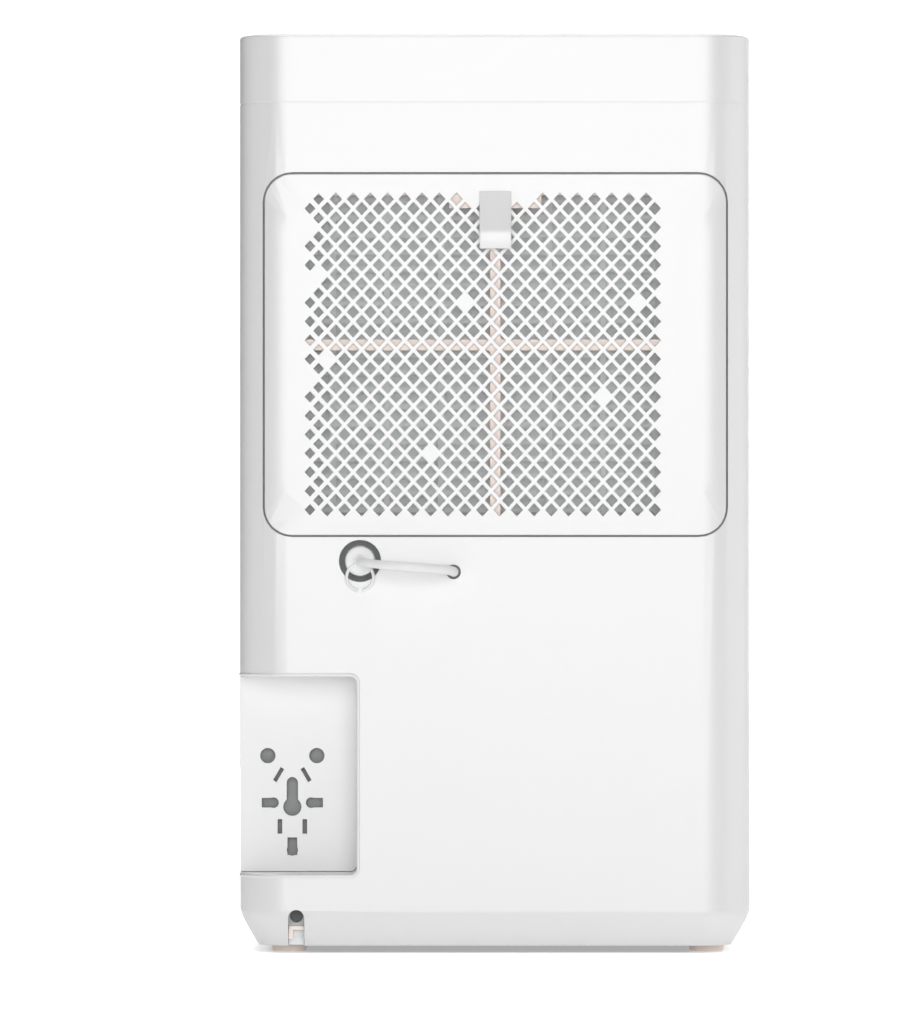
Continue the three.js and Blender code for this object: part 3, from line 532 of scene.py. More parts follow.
def circuit_board():
    """Green soldermask with copper tracks showing through and tinned pads."""
    material, tree, shader = base_material("Circuit board", 0.35, Coat_Weight=0.3)
    coords = node(tree, "ShaderNodeTexCoord")
    tracks = node(tree, "ShaderNodeTexBrick", {
        "Scale": 90.0, "Mortar Size": 0.03, "Color1": (0.012, 0.10, 0.04, 1),
        "Color2": (0.018, 0.13, 0.05, 1), "Mortar": (0.04, 0.22, 0.09, 1)})
    pads = node(tree, "ShaderNodeTexVoronoi", {"Scale": 220.0})
    dots = node(tree, "ShaderNodeMath", {1: 0.16}, operation="LESS_THAN")
    wire(
        tree, (coords, "Object", tracks, "Vector"), (coords, "Object", pads, "Vector"),
        (pads, "Distance", dots, 0))
    colour_out = mix_colour(tree, dots.outputs["Value"], tracks.outputs["Color"], (0.6, 0.6, 0.58, 1))
    link(tree, colour_out, shader.inputs["Base Color"])
    add_bump(tree, shader, tracks.outputs["Fac"], 0.3, 0.0001)
    return material


def clear_plastic(name, colour, transmission):
    """Clear moulded plastic with a faint ripple."""
    material, tree, shader = base_material(name, 0.08, IOR=1.49, Transmission_Weight=transmission)
    effect = use_effect(tree, "Moulded grain", Scale=140.0, Drift_Scale=20.0)
    colour_out = mix_colour(tree, effect.outputs["Drift"], tint(colour, 0.95), tint(colour, 1.05))
    link(tree, colour_out, shader.inputs["Base Color"])
    add_bump(tree, shader, effect.outputs["Drift"], 0.08, 0.0004)
    return material


def make_materials():
    """Every finish, under the name of its slot."""
    casing = settings().dehumidifier_casing
    return {
        "white": moulded(
            "Casing white", tuple(casing.white), casing.roughness, bump=0.05, drift=0.004,
            Specular_IOR_Level=1.0, Coat_Weight=1.0, Coat_Roughness=0.40, Coat_IOR=1.9),
        "inner_white": moulded("Inner white", (0.93, 0.94, 0.935), 0.55, drift=0.02),
        # A greyer copy of the inner white: painted shade on the louvre slopes, the intake's back wall and the
        # cord slot.
        "louvre_painted_shade": moulded("Louvre slopes painted shade", (0.80, 0.83, 0.84), 0.6, drift=0.04),
        "warm_white": moulded("Warm white frame", (0.96, 0.84, 0.78), 0.55, drift=0.02),
        "soft_white": moulded(
            "Soft silicone", (0.76, 0.765, 0.76), 0.3, grain=500, bump=0.08, drift=0.01,
            Subsurface_Weight=0.15, Subsurface_Radius=(0.004, 0.004, 0.004)),
        "grey_plastic": moulded("Grey plastic", (0.27, 0.28, 0.28), 0.55, wear=0.2, drift=0.05),
        # A dark grey that paints shadow: at the bottom of the drain well, in the strap's hole and in the
        # cord's hole.
        "painted_shadow_grey": moulded("Painted shadow grey", (0.26, 0.265, 0.265), 0.6, drift=0.05),
        "dark_plastic": moulded("Dark plastic", (0.03, 0.03, 0.034), 0.5, wear=0.3, drift=0.1),
        "foot_rubber": moulded("Foot rubber", (0.94, 0.82, 0.76), 0.85, grain=400, bump=0.3, drift=0.06),
        "black_rubber": moulded("Black rubber", (0.014, 0.014, 0.014), 0.8, grain=400, bump=0.3, drift=0.1),
        "black_steel": moulded(
            "Black enamel", (0.013, 0.014, 0.015), 0.3, grain=180, bump=0.25, drift=0.1, wear=0.3,
            Coat_Weight=0.4),
        "copper": metal("Copper tube", (0.78, 0.36, 0.22), 0.25, stretch=(30, 30, 6), tarnish=0.3),
        "steel": metal("Plated steel", (0.58, 0.59, 0.60), 0.32),
        "fins": fin_stack(),
        "net": woven_net(),
        "board": circuit_board(),
        "smoked": clear_plastic("Clear tank", (0.80, 0.88, 0.92), 0.85),
    }


MATERIALS = {}


def material(slot):
    """The finish of a slot; all of them are made at the first call."""
    if not MATERIALS:
        MATERIALS.update(make_materials())
    return MATERIALS[slot]


# ---- finish on the frame's own nodes ----

def smooth_by_angle_nodes():
    """Geometry nodes that smooth faces and mark edges sharper than an angle."""
    name = "Smooth by angle"
    if name in bpy.data.node_groups:
        return bpy.data.node_groups[name]
    tree = bpy.data.node_groups.new(name, "GeometryNodeTree")
    tree.interface.new_socket("Geometry", in_out="INPUT", socket_type="NodeSocketGeometry")
    angle = tree.interface.new_socket("Angle", in_out="INPUT", socket_type="NodeSocketFloat")
    angle.default_value = math.radians(32)
    tree.interface.new_socket("Geometry", in_out="OUTPUT", socket_type="NodeSocketGeometry")
    inp = node(tree, "NodeGroupInput")
    out = node(tree, "NodeGroupOutput")
    faces = node(tree, "GeometryNodeSetShadeSmooth", domain="FACE")
    edges = node(tree, "GeometryNodeSetShadeSmooth", domain="EDGE")
    measured = node(tree, "GeometryNodeInputMeshEdgeAngle")
    softer = node(tree, "FunctionNodeCompare", data_type="FLOAT", operation="LESS_THAN")
    wire(
        tree, (inp, "Geometry", faces, "Geometry"), (faces, "Geometry", edges, "Geometry"),
        (measured, "Unsigned Angle", softer, "A"), (inp, "Angle", softer, "B"),
        (softer, "Result", edges, "Shade Smooth"), (edges, "Geometry", out, "Geometry"))
    return tree


def finish_node(name, slot, edge):
    """Welds, rounds the edges of and paints one node of the frame; its own mesh stays as it is."""
    cad = frame["nodes"][name]
    cad.data.materials.clear()
    cad.data.materials.append(material(slot))
    weld = cad.modifiers.new("Weld", "WELD")
    weld.merge_threshold = 0.00001
    planar = cad.modifiers.new("Planar", "DECIMATE")
    planar.decimate_type = "DISSOLVE"
    planar.angle_limit = math.radians(0.6)
    if edge:
        bevel = cad.modifiers.new("Edge radius", "BEVEL")
        bevel.width = edge * MM
        bevel.segments = 2
        bevel.limit_method = "ANGLE"
        bevel.angle_limit = math.radians(40)
        bevel.use_clamp_overlap = True
        bevel.miter_outer = "MITER_ARC"
        cleared = cad.modifiers.new("Clear slivers", "WELD")
        cleared.merge_threshold = 0.00001
    smooth = cad.modifiers.new("Smooth", "NODES")
    smooth.node_group = smooth_by_angle_nodes()
    weighted = cad.modifiers.new("Normals", "WEIGHTED_NORMAL")
    weighted.keep_sharp = True
    weighted.weight = NODE_FACE_WEIGHT


# Edge radius of each node in millimetres, where it differs from the usual one. 0 leaves the edges sharp.
USUAL_EDGE = 0.35
NODE_EDGES = {
    "rear_housing": 0.5, "front_housing": 0.5, "top_cover": 0.5, "tank_front": 0.6, "outlet_flap": 0.5,
    "carry_handle": 1.2, "tank_handle": 1.0, "plug_holder": 0, "cord_clip": 0.3,
    "suction_line": 0, "discharge_line": 0, "capillary_tube": 0, "condensate_hose": 0, "compressor": 0.6,
    "evaporator": 0, "condenser": 0, "display_lens": 0.3, "water_tank": 0.6,
}
# Nodes that a finer piece stands for.
REMADE = {"filter_cover", "filter_frame", "filter_mesh", "intake_grid", "drain_plug", "plug_tether"}


# ---- pieces ----

PLUG_LOW, PLUG_HIGH = (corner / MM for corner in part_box("drain_plug"))
PLUG_X = (PLUG_LOW.x + PLUG_HIGH.x) / 2
PLUG_RADIUS = (PLUG_HIGH.x - PLUG_LOW.x) / 2
PLUG_Z = PLUG_HIGH.z - PLUG_RADIUS
PLUG_FACE_Y = 121.5  # where the strap leaves the plug's face
ANCHOR_X = 21.2  # the strap's hole in the casing
ANCHOR_Z = 193.7
ANCHOR_Y = 116.2  # how deep the strap's end sits in its hole
BOW_START_Y = 122.8


def tether_route():
    """The strap's centreline, in millimetres: out of the plug, round in a bow, into its hole."""
    bow = settings().dehumidifier_tether.bow
    half_span = (PLUG_X - ANCHOR_X) / 2
    points = [Vector((PLUG_X, PLUG_FACE_Y, PLUG_Z))]
    steps = 24
    for i in range(steps + 1):
        angle = math.pi * i / steps
        z = PLUG_Z + (ANCHOR_Z - PLUG_Z) * i / steps
        points.append(Vector((ANCHOR_X + half_span + half_span * math.cos(angle),
                              BOW_START_Y + bow * math.sin(angle), z)))
    points.append(Vector((ANCHOR_X, (BOW_START_Y + ANCHOR_Y) / 2, ANCHOR_Z)))
    points.append(Vector((ANCHOR_X, ANCHOR_Y, ANCHOR_Z)))
    return points


class MakeTether(bpy.types.Operator):
    """Makes the soft strap between the drain plug and the casing"""
    bl_idname = "dehumidifier.make_tether"
    bl_label = "Plug tether"

    def execute(self, context):
        route = tether_route()
        diameter = settings().dehumidifier_tether.diameter
        count = len(route)
        thin, growth = 0.88, 0.20  # shares of the diameter: a little thinner at the plug's end
        radii = [diameter / 2 * (thin + growth * i / (count - 1)) for i in range(count)]
        bm = bmesh.new()
        add_rings(bm, tube_rings(route, radii))
        strap = new_piece("tether_strap", bm, None, "soft_white", ["plug_tether"], flat_faces=False)
        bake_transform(strap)
        return {"FINISHED"}


class MakeDrainPlug(bpy.types.Operator):
    """Makes the drain plug's head and its split pull loop"""
    bl_idname = "dehumidifier.make_drain_plug"
    bl_label = "Drain plug"

    def execute(self, context):
        bm = bmesh.new()
        radius = PLUG_RADIUS
        lathe_y(bm, [
            (0.01, 110.6), (4.2, 110.6), (4.2, 113.7), (6.4, 113.7), (6.4, 110.6), (radius - 0.3, 110.6),
            (radius, 110.9), (radius, 119.9), (radius - 0.25, 120.7), (radius - 0.9, 121.15),
            (radius - 1.6, 121.2), (3.4, 121.2), (3.0, 121.3), (2.6, 121.7), (0.01, 121.8)], PLUG_X, PLUG_Z)
        # The pull loop: a ring of round wire, hung below the middle and split at its lowest point.
        loop_z = PLUG_Z - 8.2
        middle, thick = 6.8, 0.8
        gap = math.degrees(1.0 / middle)
        steps, sides = 60, 12
        start, end = -90 + gap, 270 - gap
        rings = []
        for i in range(steps + 1):
            angle = math.radians(start + (end - start) * i / steps)
            away = Vector((math.cos(angle), 0, math.sin(angle)))
            centre = Vector((PLUG_X, 121.25, loop_z)) + away * middle
            ring = []
            for k in range(sides):
                turn = 2 * math.pi * k / sides
                ring.append(centre + away * (thick * math.cos(turn)) + Vector((0, thick * math.sin(turn), 0)))
            rings.append(ring)
        add_rings(bm, rings)
        new_piece("drain_stopper", bm, "drain_stopper", "soft_white", ["drain_plug"])
        return {"FINISHED"}


LATTICE_RIGHT = 93.96  # centre of the outermost column of holes
LATTICE_TOP = 382.63  # centre of the top row
EDGE_COLUMNS = 2  # the columns nearest the corner have smaller holes
EDGE_HOLE_SIZE = 0.85
COVER_BOTTOM = 212.3  # lower edge of the cover's outer face, above its hooks
COVER_CORNER = 14.0
TAB_SHADOW = 16.0  # half the stretch beside the tab where the top row is left whole
# Row and column of the places in the lattice that are left whole.
UNPIERCED = {(3, 0), (8, 1), (9, 0), (11, 18), (11, 38), (17, 2), (19, 0), (21, 34), (27, 14)}


def rounded_diamond(x, z, half_width, half_height, blunt=0.05):
    """A diamond with each corner cut by a short edge, as (x, z) points."""
    centre = Vector((x, z))
    tips = [Vector(tip) for tip in ((half_width, 0), (0, half_height), (-half_width, 0), (0, -half_height))]
    points = []
    for i, tip in enumerate(tips):
        for other in (tips[i - 1], tips[(i + 1) % 4]):
            points.append(centre + tip.lerp(other, blunt))
    return points


def lattice_holes(lattice):
    """Centre and half sizes of each diamond: a staggered grid, with the unpierced places left out."""
    for row in range(lattice.rows):
        for column in range(0 if row % 2 else 1, lattice.columns, 2):
            x = LATTICE_RIGHT - column * lattice.pitch_x
            under_tab = row == 0 and abs(x) < TAB_SHADOW
            if under_tab or (row, column) in UNPIERCED:
                continue
            size = EDGE_HOLE_SIZE if column < EDGE_COLUMNS else 1.0
            yield x, LATTICE_TOP - row * lattice.pitch_z, lattice.width / 2 * size, lattice.height / 2 * size


class MakeFilterCover(bpy.types.Operator):
    """Makes the filter cover with its full diamond lattice and edge breaks"""
    bl_idname = "dehumidifier.make_filter_cover"
    bl_label = "Filter cover"

    def execute(self, context):
        lattice = settings().dehumidifier_lattice
        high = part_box("filter_cover")[1]
        bottom, top = COVER_BOTTOM, high.z / MM
        side = high.x / MM
        edge = 0.5
        outline = rounded_outline(
            -side + edge, side - edge, bottom + edge, top - edge, COVER_CORNER - edge)
        fold = HALF_WIDTH - CORNER_RADIUS
        points = list(outline)
        loops = [list(range(len(outline)))]
        holes = []
        for x, z, half_width, half_height in lattice_holes(lattice):
            wide = rounded_diamond(x, z, half_width + lattice.chamfer, half_height + lattice.chamfer)
            loop = list(range(len(points), len(points) + len(wide)))
            points += wide
            loops.append(loop)
            holes.append((loop, rounded_diamond(x, z, half_width, half_height)))
        # Extra points where the cover turns with the casing's corner, so that the faces there follow it.
        for i in range(7):
            x = fold + (side - edge - fold) * i / 7
            for sign in (-1, 1):
                for k in range(1, 24):
                    z = bottom + 15 + (top - bottom - 30) * k / 24
                    points.append(Vector((sign * x, z)))
        verts, faces, place = cut_sheet(points, loops)
        bm = bmesh.new()
        front = [bm.verts.new((v.x, rear_surface(v.x), v.y)) for v in verts]
        back = [bm.verts.new((v.x, rear_surface(v.x) - lattice.thickness, v.y)) for v in verts]
        for face in faces:
            bm.faces.new([front[i] for i in face])
        for face in faces:
            bm.faces.new([back[i] for i in reversed(face)])
        # Walls of the holes: a chamfer in from the surface, then a slight flare out to the back.
        for loop, narrow in holes:
            wide_front = [front[place[i]] for i in loop]
            throat = [bm.verts.new((p.x, REAR_Y - lattice.chamfer, p.y)) for p in narrow]
            wide_back = [back[place[i]] for i in loop]
            ring_between(bm, wide_front, throat)
            ring_between(bm, throat, wide_back)
        # Rim of the cover: a small radius, then the wall down to the back.
        rim = []
        for step in (1, 2, 3):
            angle = math.radians(90 * step / 3)
            grow = edge * math.sin(angle)
            ring_points = rounded_outline(
                -side + edge - grow, side - edge + grow, bottom + edge - grow, top - edge + grow,
                COVER_CORNER - edge + grow)
            drop = edge * (1 - math.cos(angle))
            rim.append([bm.verts.new((p.x, rear_surface(p.x) - drop, p.y)) for p in ring_points])
        previous = [front[place[i]] for i in loops[0]]
        for ring in rim:
            ring_between(bm, previous, ring)
            previous = ring
        ring_between(bm, previous, [back[place[i]] for i in loops[0]])
        bmesh.ops.remove_doubles(bm, verts=bm.verts, dist=1e-5)
        new_piece("lattice_cover", bm, "filter_panel", "white", ["filter_cover"], 28)
        self.make_tab()
        self.make_hooks()
        return {"FINISHED"}

    def make_tab(self):
        """The pull tab: slopes out of the face, then hangs straight."""
        bm = bmesh.new()
        outer = [(REAR_Y - 0.2, 386.7), (REAR_Y + 0.6, 386.5), (REAR_Y + 6.3, 367.5), (REAR_Y + 6.8, 366.2),
                 (REAR_Y + 7.0, 364.6), (REAR_Y + 7.0, 358.2), (REAR_Y + 6.7, 357.5), (REAR_Y + 6.1, 357.3)]
        inner = [(REAR_Y + 5.3, 357.5), (REAR_Y + 5.0, 358.2), (REAR_Y + 5.0, 364.6), (REAR_Y + 4.6, 366.0),
                 (REAR_Y - 0.9, 381.5)]
        section = outer + inner
        half = 8.0
        middle_y = sum(y for y, _ in section) / len(section)
        root_z = 380  # above this the tab sinks into the cover and keeps its full section
        rings = []
        for x, shrink in ((-half, 0.35), (-half + 0.12, 0.12), (-half + 0.4, 0), (half - 0.4, 0),
                          (half - 0.12, 0.12), (half, 0.35)):
            ring = []
            for y, z in section:
                pull = shrink if z < root_z else 0
                ring.append(Vector((x, y + pull * (1 if y < middle_y else -1) * 0.6, z)))
            rings.append(ring)
        add_rings(bm, rings)
        new_piece("pull_tab", bm, "filter_panel", "white", flat_faces=False)

    def make_hooks(self):
        """Three hooks along the bottom edge, of one stepped section."""
        bm = bmesh.new()
        section = [(114.2, 210.1), (116.3, 210.1), (116.3, 213.2),
                   (118.2, 213.2), (118.2, 215.5), (114.2, 215.5)]
        for x0, x1 in ((95.4, 104.4), (-6.3, 6.1), (-102.2, -89.8)):
            add_rings(bm, [[Vector((x, y, z)) for y, z in section] for x in (x0, x1)])
        round_edges(bm, bm.edges, 0.3)
        new_piece("cover_hooks", bm, "filter_panel", "white")


class MakeFilterFrame(bpy.types.Operator):
    """Makes the warm white frame that holds the net, with its cross and grip pad"""
    bl_idname = "dehumidifier.make_filter_frame"
    bl_label = "Filter frame"

    def execute(self, context):
        low, high = (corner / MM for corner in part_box("filter_frame"))
        bm = bmesh.new()
        bar, half_post = 6.0, 2.4
        beam_low, beam_high = 306.2, 311.3
        holes = []
        for x0, x1 in ((low.x + bar, -half_post), (half_post, high.x - bar)):
            for z0, z1 in ((low.z + bar, beam_low), (beam_high, high.z - bar)):
                holes.append(rounded_outline(x0, x1, z0, z1, 1.2, 3))
        pierced_plate(bm, rounded_outline(low.x, high.x, low.z, high.z, 6.0, 5), holes, low.y, high.y)
        rounded_box(bm, (-23.5, low.y + 0.2, 378), (23.5, high.y - 0.1, high.z - 3), 0.4)
        new_piece("net_frame", bm, "filter_panel", "warm_white", ["filter_frame"])
        return {"FINISHED"}


class MakeFilterNet(bpy.types.Operator):
    """Makes the fine woven net stretched behind the filter frame"""
    bl_idname = "dehumidifier.make_filter_net"
    bl_label = "Filter net"

    def execute(self, context):
        low, high = (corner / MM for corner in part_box("filter_mesh"))
        bm = bmesh.new()
        columns, rows = 36, 30
        y = (low.y + high.y) / 2
        grid = []
        for row in range(rows + 1):
            z = low.z + (high.z - low.z) * row / rows
            line = []
            for column in range(columns + 1):
                x = low.x + (high.x - low.x) * column / columns
                wave = 0.12 * math.sin(x * 0.21) * math.sin(z * 0.17)
                line.append(bm.verts.new((x, y + wave, z)))
            grid.append(line)
        for lower, upper in zip(grid, grid[1:]):
            for a, b, c, d in zip(lower, lower[1:], upper[1:], upper):
                bm.faces.new((a, b, c, d))
        new_piece("woven_net", bm, "filter_panel", "net", ["filter_mesh"], flat_faces=False)
        return {"FINISHED"}


class MakeIntakeGrid(bpy.types.Operator):
    """Makes the intake wall: upright ribs with sloped louvres between them"""
    bl_idname = "dehumidifier.make_intake_grid"
    bl_label = "Intake grid"

    def execute(self, context):
        low, high = (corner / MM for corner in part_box("intake_grid"))
        bm = bmesh.new()
        rail, tuck = 7, 6  # height of the top and bottom rails, and where the uprights end inside them
        half_opening = 92
        rib_pitch, half_rib, ribs_each_side = 27.5, 1.65, 3
        radius = 0.3
        rounded_box(bm, (low.x, low.y, low.z), (high.x, high.y, low.z + rail), radius)
        rounded_box(bm, (low.x, low.y, high.z - rail), (high.x, high.y, high.z), radius)
        uprights = [(low.x, -half_opening), (half_opening, high.x)]
        for number in range(-ribs_each_side, ribs_each_side + 1):
            uprights.append((number * rib_pitch - half_rib, number * rib_pitch + half_rib))
        for x0, x1 in uprights:
            rounded_box(bm, (x0, low.y, low.z + tuck), (x1, high.y, high.z - tuck), radius)
        # Each louvre has an upright front face, then slopes up to the back wall.
        pitch, face, lift, wall = 8.75, 2.8, 7.9, 1.2
        end = half_opening + 0.5
        front, back = high.y - 0.3, low.y - 0.5
        first, last = low.z + 7.6, high.z - 8.4
        for number in range(int((last - first) / pitch) + 1):
            z = first + number * pitch
            section = [
                (front, z), (front, z + face), (back, z + lift), (back, z + lift - wall), (front - 1, z)]
            made = add_rings(bm, [[Vector((x, y, height)) for y, height in section] for x in (-end, end)])
            # The slope is the face between the section's second and third points; it takes the greyer copy of
            # the white as painted shade.
            for face_made in made[0][2].link_faces:
                if made[0][1] in face_made.verts and made[1][1] in face_made.verts:
                    face_made.material_index = 1
        # A thin wall closes the back, in the slopes' grey of painted shade.
        width, height, thickness = 2 * end, 164, 0.1
        backing = bmesh.ops.create_cube(bm, size=1.0)["verts"]
        for vert in backing:
            vert.co = Vector((
                vert.co.x * width, back + vert.co.y * thickness, (low.z + high.z) / 2 + vert.co.z * height))
        for face_made in {face_made for vert in backing for face_made in vert.link_faces}:
            face_made.material_index = 1
        wall = new_piece("intake_louvres", bm, "casing", "inner_white", ["intake_grid"])
        # The second finish paints shade on the slopes and the back wall.
        wall.data.materials.append(material("louvre_painted_shade"))
        return {"FINISHED"}


class MakeRearDetails(bpy.types.Operator):
    """Makes the pocket's rim, the cover's gasket, the lid's tongue and two liners greyed as painted shade"""
    bl_idname = "dehumidifier.make_rear_details"
    bl_label = "Rear details"

    def execute(self, context):
        self.make_rim()
        self.make_gasket()
        self.make_seam_tongue()
        self.make_drain_liner()
        self.make_slot_liner()
        return {"FINISHED"}

    def make_rim(self):
        """A bead round the parking pocket, following the casing's corner at both ends."""
        low, high = (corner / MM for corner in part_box("plug_holder"))
        left, bottom, top, radius = low.x - 1.3, low.z - 1.6, high.z + 1.2, 4.0
        flat = HALF_WIDTH - CORNER_RADIUS
        sink = 0.45
        reach = CORNER_RADIUS - sink
        corner = [math.radians(88 - 88 * step / 10) for step in range(11)]
        across = [(flat + reach * math.sin(a), REAR_Y - CORNER_RADIUS + reach * math.cos(a)) for a in corner]
        across += [(90.0, REAR_Y - sink), (left + radius + 2, REAR_Y - sink)]
        route = [Vector((x, y, top)) for x, y in across]
        for start, height in ((90, top - radius), (180, bottom + radius)):
            for step in range(7):
                angle = math.radians(start + 90 * step / 6)
                route.append(Vector((left + radius + radius * math.cos(angle), REAR_Y - sink,
                                     height + radius * math.sin(angle))))
        route += [Vector((x, y, bottom)) for x, y in reversed(across)]
        bm = bmesh.new()
        add_rings(bm, tube_rings(route, [0.95] * len(route), 12))
        new_piece("pocket_rim", bm, "casing", "white")

    def make_gasket(self):
        """A grey strip in the joint round the filter cover, a little below the surface."""
        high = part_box("filter_cover")[1] / MM
        side, bottom, top = high.x, COVER_BOTTOM, high.z
        bm = bmesh.new()
        rings = []
        for grow, depth in ((0.12, 1.6), (0.88, 1.6), (0.88, 3.4), (0.12, 3.4)):
            outline = rounded_outline(
                -side - grow, side + grow, bottom - grow, top + grow, COVER_CORNER + grow)
            rings.append([bm.verts.new((p.x, rear_surface(p.x) - depth, p.y)) for p in outline])
        closed_band(bm, rings)
        new_piece("cover_gasket", bm, "casing", "grey_plastic", flat_faces=False)

    def make_seam_tongue(self):
        """The tongue that fills the joint between the lid and the casing, just under the surface."""
        bm = bmesh.new()
        rings = []
        outside, inside, half = 0.28, 1.6, 0.9
        for inset, z in ((outside, SEAM_Z - half), (outside, SEAM_Z + half),
                         (inside, SEAM_Z + half), (inside, SEAM_Z - half)):
            rings.append([bm.verts.new((point.x, point.y, z)) for point in casing_outline(inset)])
        closed_band(bm, rings)
        new_piece("lid_tongue", bm, "casing", "white")

    def make_drain_liner(self):
        """A grey ring of painted shadow at the bottom of the drain well and a grey seat of painted shadow in
        the strap's hole.
        """
        bm = bmesh.new()
        sides = 48
        turns = [2 * math.pi * i / sides for i in range(sides)]
        rings = []
        for radius, y in ((8.0, 110.15), (8.0, 111.6), (10.5, 111.6), (10.5, 110.15)):
            rings.append([
                bm.verts.new((PLUG_X + radius * math.cos(a), y, PLUG_Z + radius * math.sin(a)))
                for a in turns])
        closed_band(bm, rings)
        seat = [(0.01, 113.2), (3.5, 113.2), (3.5, 118.3), (3.1, 118.6), (0.01, 118.6)]
        lathe_y(bm, seat, ANCHOR_X, ANCHOR_Z, 32)
        # Both are painted shadow: they darken the well and the hole where shade falls.
        new_piece("drain_painted_shadow", bm, "casing", "grey_plastic", finish="painted_shadow_grey")

    def make_slot_liner(self):
        """The pale back and sill of the cord slot, greyed as painted shade, and a dark disc of painted shadow
        in the cord's round hole.
        """
        low, high = (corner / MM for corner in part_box("cord_clip"))
        x = (low.x + high.x) / 2
        bm = bmesh.new()
        hole_z = 18.6
        hole = [Vector((x + 3.5 * math.cos(a), hole_z + 3.5 * math.sin(a)))
                for a in (2 * math.pi * i / 28 for i in range(28))]
        pierced_plate(bm, rounded_outline(x - 8, x + 8, 7.4, 24.5, 1.5, 3), [hole], 107.3, 108.3, 0.2)
        rounded_box(bm, (low.x, 107.3, 4.1), (high.x, 108.7, 8.0), 0.3)
        # The slot's back and sill take the greyer copy of the white, as painted shade.
        new_piece("slot_back", bm, "casing", "inner_white", finish="louvre_painted_shade")
        bm = bmesh.new()
        lathe_y(bm, [(0.01, 103.4), (3.4, 103.4), (3.4, 105.4), (3.0, 105.8), (0.01, 105.8)], x, hole_z, 28)
        # A dark grey disc that paints the shadow inside the cord's hole.
        new_piece("cord_hole_painted_shadow", bm, "casing", "dark_plastic", finish="painted_shadow_grey")


class MakeBackingAndMarks(bpy.types.Operator):
    """Makes the grey backing behind the parking plate's holes and the plain marks on the buttons"""
    bl_idname = "dehumidifier.make_backing_and_marks"
    bl_label = "Plate backing and button marks"

    def execute(self, context):
        low, high = (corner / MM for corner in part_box("plug_holder"))
        bm = bmesh.new()
        rounded_box(bm, (low.x + 2, low.y - 3.2, low.z + 3), (high.x - 3, low.y - 1.6, high.z - 3), 0.4)
        new_piece("plate_backing", bm, "casing", "grey_plastic")
        marks = {"power_button": 0, "mode_button": 4, "speed_button": 3, "timer_button": 6}
        for name, sides in marks.items():
            self.make_mark(name, sides)
        return {"FINISHED"}

    def make_mark(self, name, sides):
        """A raised outline with that many sides, or with none an open ring with a short bar in its gap."""
        low, high = (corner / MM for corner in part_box(name))
        centre = Vector(((low.x + high.x) / 2, (low.y + high.y) / 2, high.z + 0.02))
        bm = bmesh.new()
        steps = sides or 28
        outer, inner, rise = 2.6, 2.1, 0.08
        span = 360 if sides else 300
        count = steps if sides else steps + 1
        rings = [[], [], [], []]
        for i in range(count):
            angle = math.radians(90 + (0 if sides else 30) + span * i / steps)
            away = Vector((math.cos(angle), math.sin(angle), 0))
            for k, (radius, z) in enumerate(((inner, 0), (outer, 0), (outer, rise), (inner, rise))):
                rings[k].append(centre + away * radius + Vector((0, 0, z)))
        columns = list(zip(*rings))
        verts = [[bm.verts.new(point) for point in column] for column in columns]
        pairs = list(zip(verts, verts[1:]))
        if sides:
            pairs.append((verts[-1], verts[0]))
        for a, b in pairs:
            for k in range(4):
                bm.faces.new((a[k], a[(k + 1) % 4], b[(k + 1) % 4], b[k]))
        if not sides:
            for end in (verts[0], verts[-1]):
                bm.faces.new(end)
            rounded_box(bm, centre + Vector((-0.25, 0.6, 0)), centre + Vector((0.25, 2.9, rise)), 0.03, 1)
        body = name.replace("_button", "_key")
        new_piece(name.replace("_button", "_mark"), bm, body, "white")


class FinishNodes(bpy.types.Operator):
    """Gives every carried-over node its edge radius, smooth normals and finish"""
    bl_idname = "dehumidifier.finish_nodes"
    bl_label = "Casing and inner parts"

    def execute(self, context):
        for entry in frame["record"]["subparts"]:
            name = entry["node"]
            if name not in REMADE:
                finish_node(name, entry["material_slot"], NODE_EDGES.get(name, USUAL_EDGE))
        return {"FINISHED"}


# ---- stage ----

def area_light(name, place, target, width, height, power):
    """A soft rectangular light at place, in metres, that faces target."""
    data = bpy.data.lights.new(name, "AREA")
    data.shape = "RECTANGLE"
    data.size = width
    data.size_y = height
    data.energy = power
    light = bpy.data.objects.new(name, data)
    light.location = place
    light.rotation_euler = (Vector(target) - Vector(place)).to_track_quat("-Z", "Y").to_euler()
    bpy.context.scene.collection.objects.link(light)
    return light


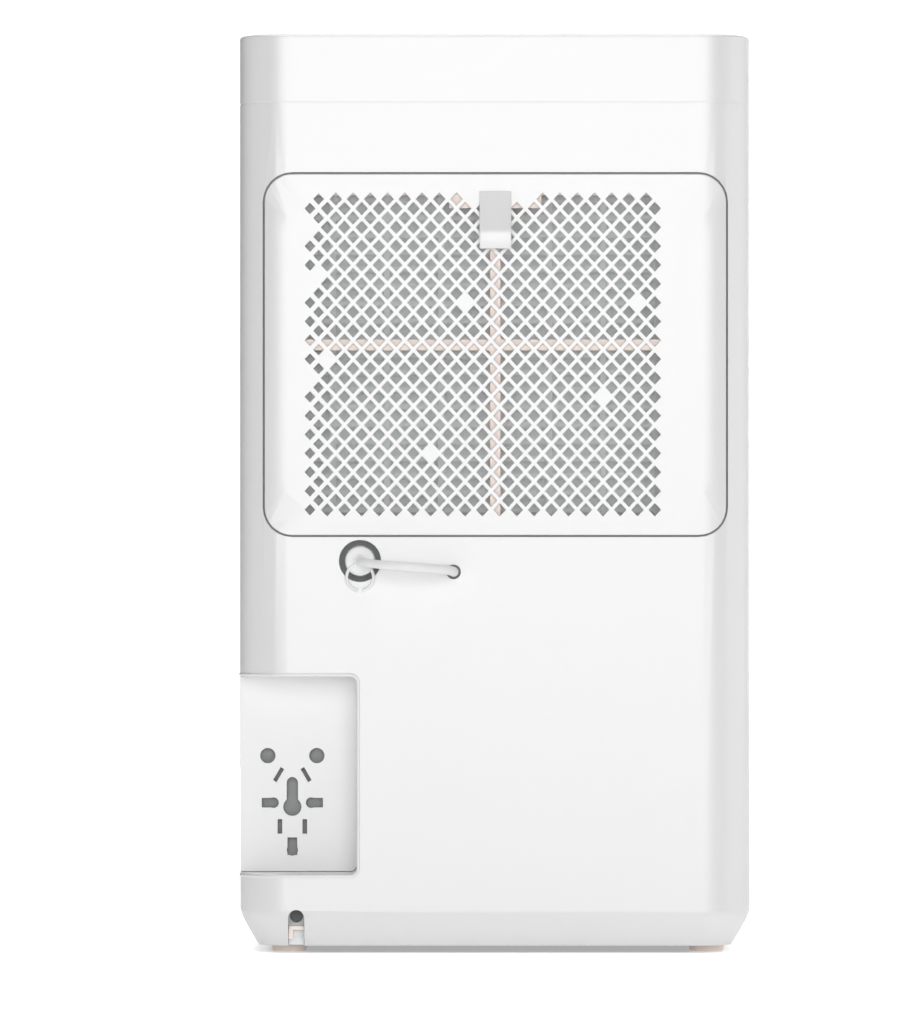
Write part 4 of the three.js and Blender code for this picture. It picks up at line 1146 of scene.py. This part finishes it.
class MakeStage(bpy.types.Operator):
    """Makes the camera, the pale floor and the soft lights"""
    bl_idname = "dehumidifier.make_stage"
    bl_label = "Stage"

    def execute(self, context):
        stage = settings().dehumidifier_stage
        camera_data = bpy.data.cameras.new("Camera")
        camera_data.sensor_fit = "VERTICAL"
        camera_data.sensor_height = 24.0
        camera_data.lens = camera_data.sensor_height * stage.distance / stage.view_height
        camera_data.clip_end = 100.0
        camera = bpy.data.objects.new("Camera", camera_data)
        camera.location = (stage.offset, REAR_Y * MM + stage.distance, stage.height)
        camera.rotation_euler = (math.pi / 2, 0, math.pi)
        bpy.context.scene.collection.objects.link(camera)
        bpy.context.scene.camera = camera

        bm = bmesh.new()
        bmesh.ops.create_grid(bm, x_segments=4, y_segments=4, size=30.0)
        mesh = bpy.data.meshes.new("floor")
        bm.to_mesh(mesh)
        bm.free()
        floor = bpy.data.objects.new("floor", mesh)
        bpy.context.scene.collection.objects.link(floor)
        mesh.materials.append(self.floor_paint())

        middle = (0, 0.1, 0.23)
        depth = REAR_Y * MM
        area_light("Key panel", (stage.offset, depth + 2.4, 0.22), (0, depth, 0.22), 1.9, 2.6, stage.key)
        area_light("Bright side", (-1.5, -0.1, 0.5), middle, 2.0, 1.6, stage.side)
        area_light("Weak side", (1.6, 0.1, 0.5), middle, 1.6, 1.6, stage.fill)
        area_light("Front panel", (-0.5, -2.4, 1.0), middle, 2.2, 2.0, stage.key * 0.7)
        area_light("Top panel", (0.1, 0.0, 2.3), middle, 1.6, 1.6, stage.top)
        self.surroundings(stage.ambient)
        bpy.context.scene.view_settings.view_transform = "Standard"
        return {"FINISHED"}

    def floor_paint(self):
        """Pale floor: it shows as white, with a painted contact shadow where its glow dims near the object,
        and gives the object only some light from below.
        """
        paint, tree, shader = base_material(
            "Floor", 0.9, Base_Color=(0.85, 0.85, 0.85, 1), Emission_Color=(1, 1, 1, 1),
            Specular_IOR_Level=0.0)
        rays = node(tree, "ShaderNodeLightPath")
        glow = node(tree, "ShaderNodeMapRange", {"To Min": 0.34, "To Max": 1.05})
        # Painted contact shadow: ambient occlusion dims the glow that the camera sees near the object.
        shade = node(tree, "ShaderNodeAmbientOcclusion", {"Distance": 0.02})
        seen = node(tree, "ShaderNodeMath", operation="MULTIPLY")
        wire(
            tree, (rays, "Is Camera Ray", seen, 0), (shade, "AO", seen, 1),
            (seen, "Value", glow, "Value"), (glow, "Result", shader, "Emission Strength"))
        return paint

    def surroundings(self, ambient):
        """Even light from all round, white where the camera sees it."""
        world = bpy.data.worlds.new("Studio")
        world.use_nodes = True
        tree = world.node_tree
        rays = node(tree, "ShaderNodeLightPath")
        strength = node(tree, "ShaderNodeMapRange", {"To Min": ambient, "To Max": 1.1})
        background = tree.nodes["Background"]
        background.inputs["Color"].default_value = (1, 1, 1, 1)
        wire(
            tree, (rays, "Is Camera Ray", strength, "Value"),
            (strength, "Result", background, "Strength"))
        bpy.context.scene.world = world


STEPS = (
    MakeStage, MakeTether, MakeDrainPlug, MakeFilterCover, MakeFilterFrame, MakeFilterNet, MakeIntakeGrid,
    MakeRearDetails, MakeBackingAndMarks, FinishNodes)
SETTINGS = {
    "dehumidifier_casing": CasingSettings, "dehumidifier_lattice": LatticeSettings,
    "dehumidifier_tether": TetherSettings, "dehumidifier_stage": StageSettings}


class DehumidifierPanel(bpy.types.Panel):
    """Lists the pieces in building order"""
    bl_idname = "VIEW3D_PT_dehumidifier"
    bl_label = "Dehumidifier"
    bl_space_type = "VIEW_3D"
    bl_region_type = "UI"
    bl_category = "Dehumidifier"

    def draw(self, context):
        for name in SETTINGS:
            box = self.layout.box()
            group = getattr(context.scene, name)
            for prop in group.__annotations__:
                box.prop(group, prop)
        for step in STEPS:
            self.layout.operator(step.bl_idname)


def register():
    for name, group in SETTINGS.items():
        bpy.utils.register_class(group)
        setattr(bpy.types.Scene, name, PointerProperty(type=group))
    for cls in (*STEPS, DehumidifierPanel):
        bpy.utils.register_class(cls)


def unregister():
    for cls in (DehumidifierPanel, *reversed(STEPS)):
        bpy.utils.unregister_class(cls)
    for name, group in SETTINGS.items():
        delattr(bpy.types.Scene, name)
        bpy.utils.unregister_class(group)


def main():
    """Makes everything."""
    register()
    for step in STEPS:
        name = step.bl_idname.split(".")[1]
        getattr(bpy.ops.dehumidifier, name)()


if __name__ == "__main__":
    main()
